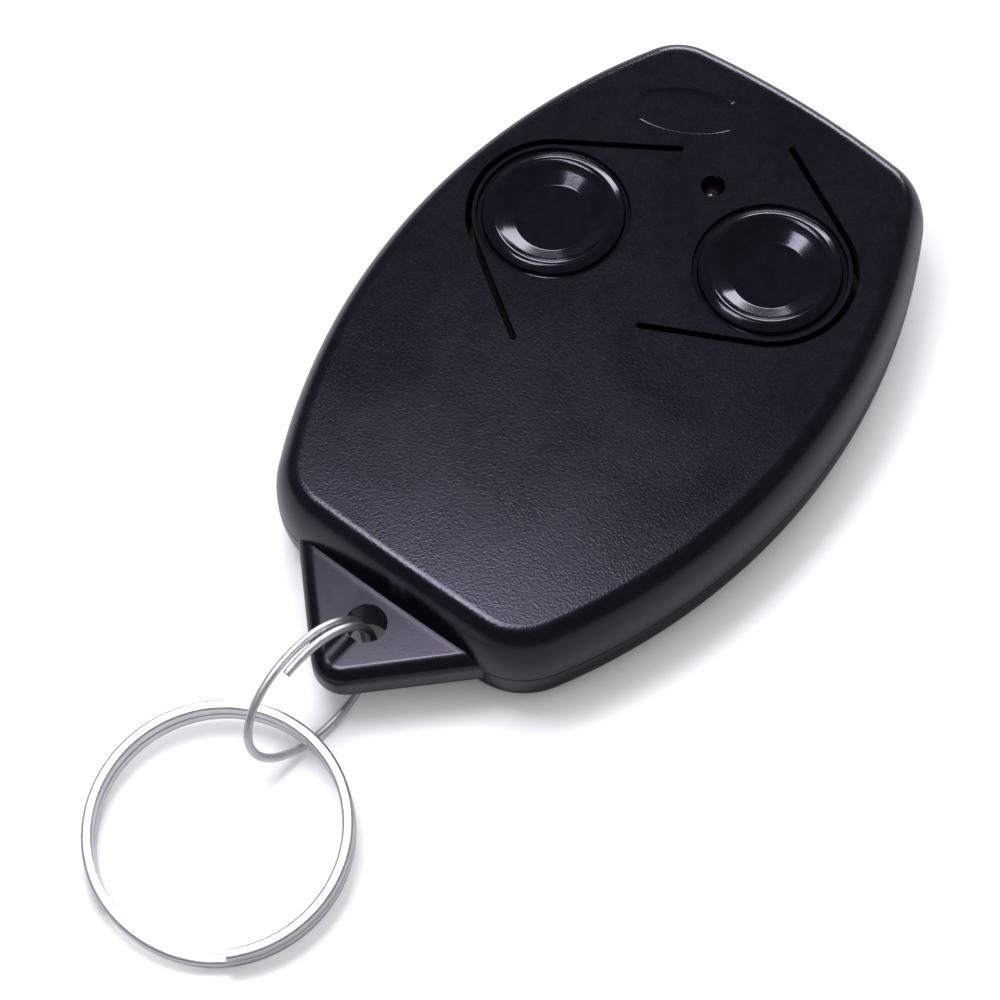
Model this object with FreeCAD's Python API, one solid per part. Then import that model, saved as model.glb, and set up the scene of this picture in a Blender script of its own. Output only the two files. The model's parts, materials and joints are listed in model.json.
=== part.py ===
import FreeCAD, Part
import math
import os
from FreeCAD import Vector

# Gate remote control with two flexing keys, a key tab and two wire rings.
# Millimetres. X is the width, +Y the lamp end, -Y the key tab, +Z out of the keyed face.
# The origin is the middle of the flat back. The remote lies on its back.

# Casing outline at its widest level
BODY_WIDTH = 38.0
BODY_LENGTH = 53.0
BODY_HEIGHT = 10.0
SIDE_RADIUS = 49.4
LAMP_END_RADIUS = 75.6
TAIL_RADIUS = 313.0
LAMP_END_CORNER = 5.2
TAIL_CORNER = 6.1

# Casing section: both halves round over from the parting level, which is half way up
FACE_ROUNDING = 2.16
FACE_SQUARENESS = 2.26
BACK_ROUNDING = 3.3
BACK_SQUARENESS = 2.6
FACE_STEPS = 4
BACK_STEPS = 3
SIDE_WALL = 1.5
FACE_WALL = 1.4
BACK_WALL = 1.3
ROOM_DRAFT = 0.3
INNER_WALL_SAG = 0.35

# Lip of the back cover inside the rebate of the front cover
LIP_WIDTH = 0.65
LIP_HEIGHT = 0.8
LIP_GAP = 0.06

# Key tab
TAB_REACH = 7.5
TAB_TIP_RADIUS = 2.5
TAB_HALF_ANGLE = 45.0
TAB_ABOVE_PARTING = 1.3
TAB_BELOW_PARTING = 2.2
TAB_TOP_FILLET = 1.15
TAB_BOTTOM_FILLET = 1.2
TAB_HOLE_RADIUS = 1.55
TAB_HOLE_FROM_TAIL = 2.4
TAB_HOLE_RIM = 0.3
TAB_ROOT_IN_WALL = 1.2

# Flexing keys
KEY_LEFT_X = -9.2
KEY_LEFT_FROM_LAMP_END = 21.0
KEY_RIGHT_X = 7.0
KEY_RIGHT_FROM_LAMP_END = 15.2
SLOT_RADIUS = 6.5
SLOT_WIDTH = 0.62
LEFT_SLOT_ANGLE = 33.0
LEFT_SLOT_END_OFFSET = 4.3
RIGHT_SLOT_ANGLE = 27.0
RIGHT_SLOT_END_OFFSET = 5.0
KEY_ROOT_OFFSET = 6.05
KEY_PLATE = 1.2
ROOT_RELIEF_ANGLE = 6.0
MOAT_RADIUS = 5.95
MOAT_FLOOR_RADIUS = 5.7
MOAT_DEPTH = 0.4
CREST_FOOT_RADIUS = 5.4
CREST_RADIUS = 4.8
CREST_HEIGHT = 0.3
DISH_RADIUS = 4.2
DISH_RIM_DROP = 0.05
DISH_DEPTH = 1.05
RIM_STEPS = 2
DISH_STEPS = 3
BUTTON_WALL = 0.75
POST_LENGTH = 0.55
POST_RADIUS = 1.0
POST_GAP = 0.05

# Lamp hole and the bare oval recess
LAMP_X = -0.9
LAMP_FROM_LAMP_END = 11.7
LAMP_RADIUS = 0.9
LAMP_FIT = 0.05
LAMP_RECESS = 0.8
LAMP_TIP_RADIUS = 0.45
LAMP_LEAD = 0.45
LAMP_LEAD_HOLE = 0.6
LAMP_LEAD_SPACING = 1.0
LAMP_LEAD_TAIL = 0.6
OVAL_X = -6.6
OVAL_FROM_LAMP_END = 7.3
OVAL_HALF_LENGTH = 4.6
OVAL_HALF_WIDTH = 2.1
OVAL_TILT = 28.0
OVAL_DEPTH = 0.15

# Circuit board and its seats
BOARD_THICKNESS = 1.0
BOARD_INSET = 2.5
SEAT_SIZE = 2.4
PIN_RADIUS = 0.6
PIN_FIT = 0.1
PIN_SINK = 0.1
SEAT_TRACK_GAP = 0.1
UPPER_SEAT_FROM_LAMP_END = 11.3
RIGHT_SEAT_FROM_LAMP_END = 23.5
LOWER_SEAT_FROM_TAIL = 15.0
TRACK_WIDTH = 1.0
TRACK_THICKNESS = 0.07
TRACK_FROM_EDGE = 0.8
TRACK_FROM_TAIL = 12.5

# Screw and its bosses
SCREW_FROM_TAIL = 6.2
SCREW_HEAD_RADIUS = 1.9
SCREW_HEAD_HEIGHT = 1.2
SCREW_HEAD_SINK = 0.25
SCREW_RADIUS = 0.95
SCREW_LENGTH = 5.8
SCREW_FIT = 0.03
SCREW_CLEARANCE = 0.25
SCREW_CROSS_LENGTH = 2.2
SCREW_CROSS_WIDTH = 0.5
SCREW_CROSS_DEPTH = 0.7
SCREW_BOSS_RADIUS = 2.1
BACK_BOSS_RADIUS = 3.0
BOSS_FOOT = 3.2

# Coin cell and its contacts
CELL_FROM_TAIL = 22.0
CELL_RADIUS = 10.0
CELL_CAP_RADIUS = 9.1
CELL_CAP_STAND = 0.35
CELL_CAN_WALL = 0.35
CLIP_SHEET = 0.25
CLIP_WIDTH = 5.5
CLIP_FOOT = 1.6
CLIP_GAP = 0.12
CELL_SIDE_GAP = 0.25
PAD_SIZE = 6.0
PAD_HEIGHT = 0.23
CELL_FENCE_GAP = 0.9
CELL_FENCE_WALL = 0.8
CELL_FENCE_LENGTH = 4.0
CELL_FENCE_HEIGHT = 2.3

# Push switches
SWITCH_SIZE = 5.2
SWITCH_BASE_HEIGHT = 1.0
SWITCH_CAVITY_RADIUS = 1.9
SWITCH_SHEET = 0.15
SWITCH_HEIGHT = 1.5
SWITCH_CORNER = 0.5
SWITCH_EAR_DROP = 0.6
PLUNGER_RADIUS = 1.15
PLUNGER_FIT = 0.08
PLUNGER_FLANGE_RADIUS = 1.65
PLUNGER_FLANGE = 0.18
DOME_RADIUS = 1.8
DOME_RISE = 0.4
DOME_SHEET = 0.08
DOME_GAP = 0.02
TERMINAL_WIDTH = 0.6
TERMINAL_SHEET = 0.18
TERMINAL_REACH = 0.8
TERMINAL_OFFSET = 1.7

# Small parts on the board
CHIP_FROM_SEAT = 4.7
CHIP_FROM_TAIL = 12.0
CHIP_LENGTH = 4.9
CHIP_WIDTH = 3.9
CHIP_HEIGHT = 1.5
CHIP_PITCH = 1.27
CHIP_PINS_A_SIDE = 4
CHIP_PIN_WIDTH = 0.4
CHIP_PIN_REACH = 1.0
CHIP_STAND = 0.15
CHIP_MARK_RADIUS = 0.3
RESONATOR_FROM_SIDE = 13.5
RESONATOR_FROM_TAIL = 12.5
RESONATOR_SIZE = 3.8
RESONATOR_HEIGHT = 1.2
RESONATOR_LID = 0.25
TRANSISTOR_FROM_SIDE = 8.4
TRANSISTOR_BELOW_MIDDLE = 5.5
TRANSISTOR_LENGTH = 2.9
TRANSISTOR_WIDTH = 1.3
TRANSISTOR_HEIGHT = 1.0
COIL_FROM_SIDE = 8.4
COIL_BELOW_MIDDLE = 2.5
COIL_LENGTH = 2.4
COIL_SIZE = 1.9
COIL_FLANGE = 0.5
COIL_WAIST_RADIUS = 0.8
CHIP_PART_LENGTH = 2.0
CHIP_PART_WIDTH = 1.25
RESISTOR_HEIGHT = 0.5
CAPACITOR_HEIGHT = 0.85
RESISTOR_PITCH = 2.6
RESISTOR_COLUMN_FROM_SIDE = 6.7
RESISTOR_COLUMN_FROM_TAIL = 17.9
RESISTOR_PAIR_X = 0.2
RESISTOR_PAIR_FROM_TAIL = 15.5
CAPACITOR_PAIR_FROM_SIDE = 14.6
CAPACITOR_PAIR_STEP = 3.3
CAPACITOR_PAIR_FROM_TAIL = 16.9

# Jump ring, an oval of wire pulled open, hooked through the tab hole
JUMP_WIRE_RADIUS = 0.33
JUMP_WIRE_SIDES = 8
JUMP_HALF_LENGTH = 6.15
JUMP_HALF_HEIGHT = 4.5
JUMP_LEAN = 16.0
JUMP_HEADING = -4.3
JUMP_RISE = 1.0
JUMP_PITCH = 0.95
JUMP_TURNS = (-1.15, -1.0, -0.75, -0.5, -0.25, 0.0, 0.21)

# Split key ring, two layers of flat wire joined by a ramp
RING_OUTER_RADIUS = 9.9
RING_BAND = 0.85
RING_LAYER = 1.05
RING_LAYER_GAP = 0.06
RING_RAMP_START = -108.0
RING_RAMP_END = -46.5
RING_RAMP_STEEPEST = 1.5
RING_X = 0.42
RING_FROM_TAB_HOLE = 7.9
RING_BELOW_TAB_MIDDLE = 3.24

# Flat sides of the small pins, holes and switch parts inside, and of the coin cell
SMALL_PIECE_SIDES = 12
CELL_SIDES = 36

# How close an edge lies to a level to count as being on it
LEVEL_MATCH = 0.0001

# Levels, worked out from the back and down from the face
PARTING_HEIGHT = BODY_HEIGHT / 2
TAB_TOP = PARTING_HEIGHT + TAB_ABOVE_PARTING
TAB_BOTTOM = PARTING_HEIGHT - TAB_BELOW_PARTING
FACE_INSIDE = BODY_HEIGHT - FACE_WALL
POST_TIP = BODY_HEIGHT - DISH_DEPTH - BUTTON_WALL - POST_LENGTH
BOARD_TOP = POST_TIP - POST_GAP - SWITCH_HEIGHT
BOARD_BOTTOM = BOARD_TOP - BOARD_THICKNESS
CELL_BOTTOM = BACK_WALL + CLIP_GAP + CLIP_SHEET
CELL_HEIGHT = BOARD_BOTTOM - PAD_HEIGHT - CELL_BOTTOM
CELL_FLOOR = CELL_BOTTOM + CELL_CAN_WALL
CELL_ROOM_RADIUS = CELL_RADIUS - CELL_CAN_WALL

# Places, worked out from the sides and the two ends
SIDE_X = BODY_WIDTH / 2
LAMP_END_Y = BODY_LENGTH / 2
TAIL_Y = -BODY_LENGTH / 2
TAB_HOLE_Y = TAIL_Y - TAB_HOLE_FROM_TAIL
LAMP_Y = LAMP_END_Y - LAMP_FROM_LAMP_END
OVAL_Y = LAMP_END_Y - OVAL_FROM_LAMP_END
SCREW_Y = TAIL_Y + SCREW_FROM_TAIL
CELL_Y = TAIL_Y + CELL_FROM_TAIL
CHIP_Y = TAIL_Y + CHIP_FROM_TAIL
RESONATOR_X = SIDE_X - RESONATOR_FROM_SIDE
RESONATOR_Y = TAIL_Y + RESONATOR_FROM_TAIL
TRANSISTOR_X = SIDE_X - TRANSISTOR_FROM_SIDE
TRANSISTOR_Y = -TRANSISTOR_BELOW_MIDDLE
COIL_X = SIDE_X - COIL_FROM_SIDE
COIL_Y = -COIL_BELOW_MIDDLE
RING_Y = TAB_HOLE_Y - RING_FROM_TAB_HOLE - RING_OUTER_RADIUS
SEAT_INSET = BOARD_INSET + TRACK_FROM_EDGE + TRACK_WIDTH + INNER_WALL_SAG + SEAT_TRACK_GAP

# Each key: centre x, centre y, side of its root, slot angle, offset of the slot ends
KEYS = {
    "left": (KEY_LEFT_X, LAMP_END_Y - KEY_LEFT_FROM_LAMP_END, 1.0,
             LEFT_SLOT_ANGLE, LEFT_SLOT_END_OFFSET),
    "right": (KEY_RIGHT_X, LAMP_END_Y - KEY_RIGHT_FROM_LAMP_END, -1.0,
              RIGHT_SLOT_ANGLE, RIGHT_SLOT_END_OFFSET),
}


def place(x, y, z):
    return Vector(x, y, z)


def ray(angle):
    return Vector(math.cos(angle), math.sin(angle), 0)


def box(size_x, size_y, size_z, x, y, z):
    """A block centred on x and y that stands on z."""
    return Part.makeBox(size_x, size_y, size_z, place(x - size_x / 2, y - size_y / 2, z))


def disc(radius, height, x, y, z):
    return Part.makeCylinder(radius, height, place(x, y, z))


def revolved(points, x, y):
    """A closed profile of radius and height turned about an upright axis."""
    wire = Part.makePolygon([place(r, 0, z) for r, z in points + points[:1]])
    solid = Part.Face(wire).revolve(place(0, 0, 0), place(0, 0, 1), 360)
    return solid.translated(place(x, y, 0))


def joined(shapes):
    return shapes[0].multiFuse(shapes[1:]).removeSplitter()


def inner_corner(centre_a, reach_a, centre_b, reach_b):
    """Crossing of two circles that lies on the +X side."""
    span = centre_b - centre_a
    along = (reach_a ** 2 - reach_b ** 2 + span.Length ** 2) / (2 * span.Length)
    aside = math.sqrt(reach_a ** 2 - along ** 2)
    step = Vector(span).normalize()
    across = Vector(-step.y, step.x, 0)
    crossings = [centre_a + step * along + across * side for side in (aside, -aside)]
    return max(crossings, key=lambda point: point.x)


def outline_arcs():
    """The eight arcs of the casing outline: centre, radius, start and end angle."""
    side = place(BODY_WIDTH / 2 - SIDE_RADIUS, 0, 0)
    lamp_end = place(0, BODY_LENGTH / 2 - LAMP_END_RADIUS, 0)
    tail = place(0, TAIL_Y + TAIL_RADIUS, 0)
    upper = inner_corner(
        side, SIDE_RADIUS - LAMP_END_CORNER, lamp_end, LAMP_END_RADIUS - LAMP_END_CORNER)
    lower = inner_corner(side, SIDE_RADIUS - TAIL_CORNER, tail, TAIL_RADIUS - TAIL_CORNER)
    upper_side = math.atan2(upper.y - side.y, upper.x - side.x)
    upper_end = math.atan2(upper.y - lamp_end.y, upper.x - lamp_end.x)
    lower_side = math.atan2(lower.y - side.y, lower.x - side.x)
    lower_end = math.atan2(lower.y - tail.y, lower.x - tail.x)
    right = [
        (tail, TAIL_RADIUS, -math.pi / 2, lower_end),
        (lower, TAIL_CORNER, lower_end, lower_side),
        (side, SIDE_RADIUS, lower_side, upper_side),
        (upper, LAMP_END_CORNER, upper_side, upper_end),
        (lamp_end, LAMP_END_RADIUS, upper_end, math.pi / 2),
    ]
    left = [(place(-c.x, c.y, 0), r, math.pi - b, math.pi - a) for c, r, a, b in reversed(right)]
    return right + left


def outline(inset, z):
    """The casing outline drawn in by inset, at height z."""
    edges = []
    for centre, radius, start, end in outline_arcs():
        points = [centre + ray(angle) * (radius - inset) for angle in (start, (start + end) / 2, end)]
        edges.append(Part.Arc(*points).toShape())
    wire = Part.Wire(edges)
    wire.translate(place(0, 0, z))
    return wire


def chord_corners(inset, z):
    """Corners of a ring of straight walls that follows the casing outline drawn in by inset."""
    corners = []
    for centre, radius, start, end in outline_arcs():
        chord_angle = 2 * math.acos(1 - INNER_WALL_SAG / radius)
        chords = math.ceil((end - start) / chord_angle)
        for step in range(chords):
            angle = start + (end - start) * step / chords
            corners.append(centre + ray(angle) * (radius - inset) + place(0, 0, z))
    return corners


def stacked(loops):
    """A solid with flat walls between loops of corners, from its foot to its top."""
    faces = [Part.Face(Part.makePolygon(loop + loop[:1])) for loop in (loops[0], loops[-1])]
    for low, high in zip(loops, loops[1:]):
        for i in range(len(low)):
            wall = [low[i - 1], low[i], high[i], high[i - 1], low[i - 1]]
            faces.append(Part.Face(Part.makePolygon(wall)))
    return closed_solid(faces)


def chord_prism(inset, z, thickness, top_inset=None):
    """A block with straight walls, whose top may be drawn in more than its foot."""
    high_inset = inset if top_inset is None else top_inset
    return stacked([chord_corners(inset, z), chord_corners(high_inset, z + thickness)])


def flatted(rings, x, y, sides):
    """An upright piece with flat sides, given by the radius to its sides at each height."""
    turns = [ray(2 * math.pi * (i + 0.5) / sides) / math.cos(math.pi / sides) for i in range(sides)]
    return stacked([[place(x, y, z) + turn * radius for turn in turns] for radius, z in rings])


def peg(radius, height, x, y, z):
    """A small hidden pin or hole."""
    return flatted([(radius, z), (radius, z + height)], x, y, SMALL_PIECE_SIDES)


def seat_place(side, y):
    """Middle of a board seat whose outer corner stands just inside the printed track."""
    corner_y = abs(y) + SEAT_SIZE / 2
    corner_x = SIDE_X - SIDE_RADIUS + math.sqrt((SIDE_RADIUS - SEAT_INSET) ** 2 - corner_y ** 2)
    return side * (corner_x - SEAT_SIZE / 2), y


def seat_places():
    """The four seats: upper left, right, lower left and lower right."""
    lower_y = TAIL_Y + LOWER_SEAT_FROM_TAIL
    return [
        seat_place(-1, LAMP_END_Y - UPPER_SEAT_FROM_LAMP_END),
        seat_place(1, LAMP_END_Y - RIGHT_SEAT_FROM_LAMP_END),
        seat_place(-1, lower_y),
        seat_place(1, lower_y),
    ]


def pin_places():
    """Two pins on opposite seats hold the board in place."""
    seats = seat_places()
    return [seats[0], seats[3]]


def chip_x():
    return seat_places()[2][0] + CHIP_FROM_SEAT


def rounded_section(far_height, rounding, squareness, steps):
    """Section of a wall that stands upright at the parting level and rounds over to far_height."""
    points = []
    for step in range(steps + 1):
        angle = math.pi / 2 * step / steps
        inset = rounding * (1 - max(math.cos(angle), 0) ** (2 / squareness))
        rise = (far_height - PARTING_HEIGHT) * math.sin(angle) ** (2 / squareness)
        points.append((inset, PARTING_HEIGHT + rise))
    return points


def closed_solid(faces):
    shell = Part.makeShell(faces)
    shell.sewShape()
    solid = Part.makeSolid(shell)
    if solid.Volume < 0:
        solid.reverse()
    return solid


def walled_solid(section):
    """A solid whose wall is the section swept round every arc of the casing outline."""
    faces = [Part.Face(outline(inset, z)) for inset, z in (section[0], section[-1])]
    for centre, radius, start, end in outline_arcs():
        points = [centre + ray(start) * (radius - inset) + place(0, 0, z) for inset, z in section]
        wall = Part.makePolygon(points).revolve(centre, place(0, 0, 1), math.degrees(end - start))
        faces += wall.Faces
    return closed_solid(faces)


def edges_at(solid, z):
    boxes = [(edge, edge.BoundBox) for edge in solid.Edges]
    return [edge for edge, b in boxes if abs(b.ZMin - z) < LEVEL_MATCH and abs(b.ZMax - z) < LEVEL_MATCH]


def room(far_height, rounding):
    """The room inside a half: straight walls that slant in towards the far side."""
    far_inset = SIDE_WALL + rounding * ROOM_DRAFT
    return chord_prism(SIDE_WALL, PARTING_HEIGHT, far_height - PARTING_HEIGHT, far_inset)


def tab_outline():
    """Plan of the key tab, with its root inside the casing wall."""
    half = math.radians(TAB_HALF_ANGLE)
    tip_centre = place(0, TAIL_Y - TAB_REACH + TAB_TIP_RADIUS, 0)
    tangent = place(math.cos(half), -math.sin(half), 0) * TAB_TIP_RADIUS
    right = tip_centre + tangent
    root_y = TAIL_Y + TAB_ROOT_IN_WALL
    root_x = right.x + (root_y - right.y) * math.tan(half)
    left = place(-right.x, right.y, 0)
    tip = tip_centre - place(0, TAB_TIP_RADIUS, 0)
    edges = [
        Part.makeLine(place(root_x, root_y, 0), place(-root_x, root_y, 0)),
        Part.makeLine(place(-root_x, root_y, 0), left),
        Part.Arc(left, tip, right).toShape(),
        Part.makeLine(right, place(root_x, root_y, 0)),
    ]
    return Part.Wire(edges)


def tab_half(far_height, fillet):
    """A half of the tab with its outer edge rounded at far_height."""
    wire = tab_outline()
    wire.translate(place(0, 0, PARTING_HEIGHT))
    solid = Part.Face(wire).extrude(place(0, 0, far_height - PARTING_HEIGHT))
    rounded = [e for e in edges_at(solid, far_height) if e.BoundBox.YMin < TAIL_Y]
    solid = solid.makeFillet(fillet, rounded)
    rim = TAB_HOLE_RADIUS + TAB_HOLE_RIM
    step = math.copysign(TAB_HOLE_RIM, far_height - PARTING_HEIGHT)
    bore = revolved([
        (0, PARTING_HEIGHT),
        (TAB_HOLE_RADIUS, PARTING_HEIGHT),
        (TAB_HOLE_RADIUS, far_height - step),
        (rim, far_height),
        (0, far_height),
    ], 0, TAB_HOLE_Y)
    return solid.cut(bore)


def slot_end_reach(key, radius):
    """Half the distance between the two ends of a slot of the given radius."""
    slot_angle, end_offset = key[3:]
    angle = math.radians(slot_angle)
    return radius / math.cos(angle) + end_offset * math.tan(angle)


def key_plan(key, radius, root_offset):
    """Plan of a key: a round end, two straight sides that widen, and a square root."""
    centre_x, centre_y, side, slot_angle, end_offset = key
    angle = math.radians(slot_angle)
    reach = slot_end_reach(key, radius)
    touch_y = radius * math.cos(angle)
    half = [
        (root_offset, -reach), (root_offset, reach), (end_offset, reach),
        (-radius * math.sin(angle), touch_y), (-radius, 0), (-radius * math.sin(angle), -touch_y),
        (end_offset, -reach),
    ]
    corners = [place(centre_x + side * x, centre_y + y, 0) for x, y in half]
    root_bottom, root_top, slot_top, top, end, bottom, slot_bottom = corners
    lines = [(root_bottom, root_top), (slot_top, top), (bottom, slot_bottom)]
    if root_offset > end_offset:
        lines += [(root_top, slot_top), (slot_bottom, root_bottom)]
    edges = [Part.makeLine(a, b) for a, b in lines]
    edges.append(Part.Arc(top, end, bottom).toShape())
    return Part.Wire(Part.__sortEdges__(edges))


def key_opening(key):
    """What a key and its slot take out of the front cover."""
    centre_x, centre_y, side, _, end_offset = key
    shapes = []
    half_slot = SLOT_WIDTH / 2
    plans = ((SLOT_RADIUS + half_slot, end_offset), (SLOT_RADIUS - half_slot, KEY_ROOT_OFFSET))
    for radius, root in plans:
        wire = key_plan(key, radius, root)
        wire.translate(place(0, 0, FACE_INSIDE))
        shapes.append(Part.Face(wire).extrude(place(0, 0, FACE_WALL)))
    reach = slot_end_reach(key, SLOT_RADIUS)
    for turn in (1, -1):
        end_x = centre_x + side * end_offset
        shapes.append(disc(half_slot, FACE_WALL, end_x, centre_y + turn * reach, FACE_INSIDE))
    return joined(shapes)


def arc_points(start, middle, end, steps):
    """Points on the arc through three points of a half section, without the first one."""
    arc = Part.Arc(*[place(r, 0, z) for r, z in (start, middle, end)]).toShape()
    first, last = arc.ParameterRange
    shares = [step / steps for step in range(1, steps + 1)]
    points = [arc.valueAt(first + (last - first) * share) for share in shares]
    return [(point.x, point.z) for point in points]


def button_section():
    """Half section of the dished button: moat, raised ring, dish, and the post below."""
    face = BODY_HEIGHT
    moat_edge = (MOAT_RADIUS, face)
    crest_foot = (CREST_FOOT_RADIUS, face)
    dish_edge = (DISH_RADIUS, face - DISH_RIM_DROP)
    dish_low = face - DISH_DEPTH
    sag = dish_edge[1] - dish_low
    sphere = (DISH_RADIUS ** 2 + sag ** 2) / (2 * sag)
    half = DISH_RADIUS / 2
    dish_middle = (half, dish_low + sphere - math.sqrt(sphere ** 2 - half ** 2))
    under = dish_low - BUTTON_WALL
    plate_low = face - KEY_PLATE
    section = [moat_edge]
    section += arc_points(moat_edge, (MOAT_FLOOR_RADIUS, face - MOAT_DEPTH), crest_foot, RIM_STEPS)
    section += arc_points(crest_foot, (CREST_RADIUS, face + CREST_HEIGHT), dish_edge, RIM_STEPS)
    section += arc_points(dish_edge, dish_middle, (0, dish_low), DISH_STEPS)
    section += [
        (0, POST_TIP),
        (POST_RADIUS, POST_TIP),
        (POST_RADIUS, under),
        (DISH_RADIUS, under),
        (DISH_RADIUS, plate_low),
        (MOAT_RADIUS, plate_low),
    ]
    return section


def make_key(key):
    """A key: a tongue of the face with its dished button, free on three sides."""
    centre_x, centre_y, side = key[:3]
    wire = key_plan(key, SLOT_RADIUS - SLOT_WIDTH / 2, KEY_ROOT_OFFSET)
    wire.translate(place(0, 0, BODY_HEIGHT - KEY_PLATE))
    tongue = Part.Face(wire).extrude(place(0, 0, KEY_PLATE))
    root_x = centre_x + side * KEY_ROOT_OFFSET
    relief = KEY_PLATE * math.tan(math.radians(ROOT_RELIEF_ANGLE))
    wedge = Part.Face(Part.makePolygon([
        place(root_x, -BODY_LENGTH, BODY_HEIGHT),
        place(root_x, -BODY_LENGTH, BODY_HEIGHT - KEY_PLATE),
        place(root_x - side * relief, -BODY_LENGTH, BODY_HEIGHT - KEY_PLATE),
        place(root_x, -BODY_LENGTH, BODY_HEIGHT),
    ])).extrude(place(0, 2 * BODY_LENGTH, 0))
    tongue = tongue.cut(wedge)
    tongue = tongue.cut(disc(MOAT_RADIUS, KEY_PLATE, centre_x, centre_y, BODY_HEIGHT - KEY_PLATE))
    return joined([tongue, revolved(button_section(), centre_x, centre_y)])


def oval_recess():
    """Shallow bare oval let into the face near the lamp end."""
    ellipse = Part.Ellipse(place(0, 0, 0), OVAL_HALF_LENGTH, OVAL_HALF_WIDTH).toShape()
    floor_length = OVAL_HALF_LENGTH - OVAL_DEPTH
    floor_width = OVAL_HALF_WIDTH - OVAL_DEPTH
    small = Part.Ellipse(place(0, 0, 0), floor_length, floor_width).toShape()
    small.translate(place(0, 0, -OVAL_DEPTH))
    solid = Part.makeLoft([Part.Wire([small]), Part.Wire([ellipse])], True, True)
    solid.rotate(place(0, 0, 0), place(0, 0, 1), OVAL_TILT)
    return solid.translated(place(OVAL_X, OVAL_Y, BODY_HEIGHT))


def make_front_cover():
    outer = walled_solid(rounded_section(BODY_HEIGHT, FACE_ROUNDING, FACE_SQUARENESS, FACE_STEPS))
    cover = joined([outer, tab_half(TAB_TOP, TAB_TOP_FILLET)])
    cover = cover.cut(room(FACE_INSIDE, FACE_ROUNDING))
    rebate = SIDE_WALL - LIP_WIDTH - LIP_GAP
    cover = cover.cut(chord_prism(rebate, PARTING_HEIGHT, LIP_HEIGHT + LIP_GAP))
    boss = peg(SCREW_BOSS_RADIUS, FACE_INSIDE - BOSS_FOOT, 0, SCREW_Y, BOSS_FOOT)
    stop_height = FACE_INSIDE - BOARD_TOP
    stops = [box(SEAT_SIZE, SEAT_SIZE, stop_height, x, y, BOARD_TOP) for x, y in seat_places()]
    cover = joined([cover, boss] + stops)
    pilot_depth = SCREW_LENGTH - (BOSS_FOOT - SCREW_HEAD_SINK - SCREW_HEAD_HEIGHT) + SCREW_CLEARANCE
    cuts = [peg(SCREW_RADIUS + SCREW_FIT, pilot_depth, 0, SCREW_Y, BOSS_FOOT)]
    cuts += [key_opening(key) for key in KEYS.values()]
    cuts.append(disc(LAMP_RADIUS + LAMP_FIT, FACE_WALL, LAMP_X, LAMP_Y, FACE_INSIDE))
    cuts.append(oval_recess())
    return cover.cut(cuts)


def make_back_cover():
    outer = walled_solid(rounded_section(0, BACK_ROUNDING, BACK_SQUARENESS, BACK_STEPS))
    cover = joined([outer, tab_half(TAB_BOTTOM, TAB_BOTTOM_FILLET)])
    cover = cover.cut(room(BACK_WALL, BACK_ROUNDING))
    lip = chord_prism(SIDE_WALL - LIP_WIDTH, PARTING_HEIGHT, LIP_HEIGHT)
    lip = lip.cut(chord_prism(SIDE_WALL, PARTING_HEIGHT, LIP_HEIGHT))
    boss = peg(BACK_BOSS_RADIUS, BOSS_FOOT - BACK_WALL, 0, SCREW_Y, BACK_WALL)
    seat_height = BOARD_BOTTOM - BACK_WALL
    seats = [box(SEAT_SIZE, SEAT_SIZE, seat_height, x, y, BACK_WALL) for x, y in seat_places()]
    pins = [peg(PIN_RADIUS, BOARD_THICKNESS - PIN_SINK, x, y, BOARD_BOTTOM) for x, y in pin_places()]
    cover = joined([cover, lip, boss] + cell_fence() + seats + pins)
    head_room = disc(
        SCREW_HEAD_RADIUS + SCREW_CLEARANCE, SCREW_HEAD_SINK + SCREW_HEAD_HEIGHT, 0, SCREW_Y, 0)
    shank_room = peg(SCREW_RADIUS + SCREW_CLEARANCE, BOSS_FOOT, 0, SCREW_Y, 0)
    return cover.cut([head_room, shank_room])


def cell_fence():
    """Four straight ribs that keep the coin cell in place, one across each diagonal."""
    reach = CELL_RADIUS + CELL_FENCE_GAP + CELL_FENCE_WALL / 2
    ribs = []
    for turn in (45, 135, 225, 315):
        rib = box(CELL_FENCE_WALL, CELL_FENCE_LENGTH, CELL_FENCE_HEIGHT, reach, 0, BACK_WALL)
        rib.rotate(place(0, 0, 0), place(0, 0, 1), turn)
        ribs.append(rib.translated(place(0, CELL_Y, 0)))
    return ribs


def make_screw():
    """Screw with a flat round head and a cross recess; its thread is left plain."""
    head = disc(SCREW_HEAD_RADIUS, SCREW_HEAD_HEIGHT, 0, SCREW_Y, SCREW_HEAD_SINK)
    shank = disc(SCREW_RADIUS, SCREW_LENGTH, 0, SCREW_Y, SCREW_HEAD_SINK + SCREW_HEAD_HEIGHT)
    screw = joined([head, shank])
    bars = [
        box(SCREW_CROSS_LENGTH, SCREW_CROSS_WIDTH, SCREW_CROSS_DEPTH, 0, SCREW_Y, SCREW_HEAD_SINK),
        box(SCREW_CROSS_WIDTH, SCREW_CROSS_LENGTH, SCREW_CROSS_DEPTH, 0, SCREW_Y, SCREW_HEAD_SINK),
    ]
    return screw.cut(bars)


def make_board():
    """Circuit board with its holes for the pins, the screw boss and the lamp leads."""
    board = chord_prism(BOARD_INSET, BOARD_BOTTOM, BOARD_THICKNESS)
    cuts = [peg(PIN_RADIUS + PIN_FIT, BOARD_THICKNESS, x, y, BOARD_BOTTOM) for x, y in pin_places()]
    cuts.append(peg(SCREW_BOSS_RADIUS + SCREW_CLEARANCE, BOARD_THICKNESS, 0, SCREW_Y, BOARD_BOTTOM))
    for lead in lamp_lead_places():
        cuts.append(box(LAMP_LEAD_HOLE, LAMP_LEAD_HOLE, BOARD_THICKNESS, lead, LAMP_Y, BOARD_BOTTOM))
    return board.cut(cuts)


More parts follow.
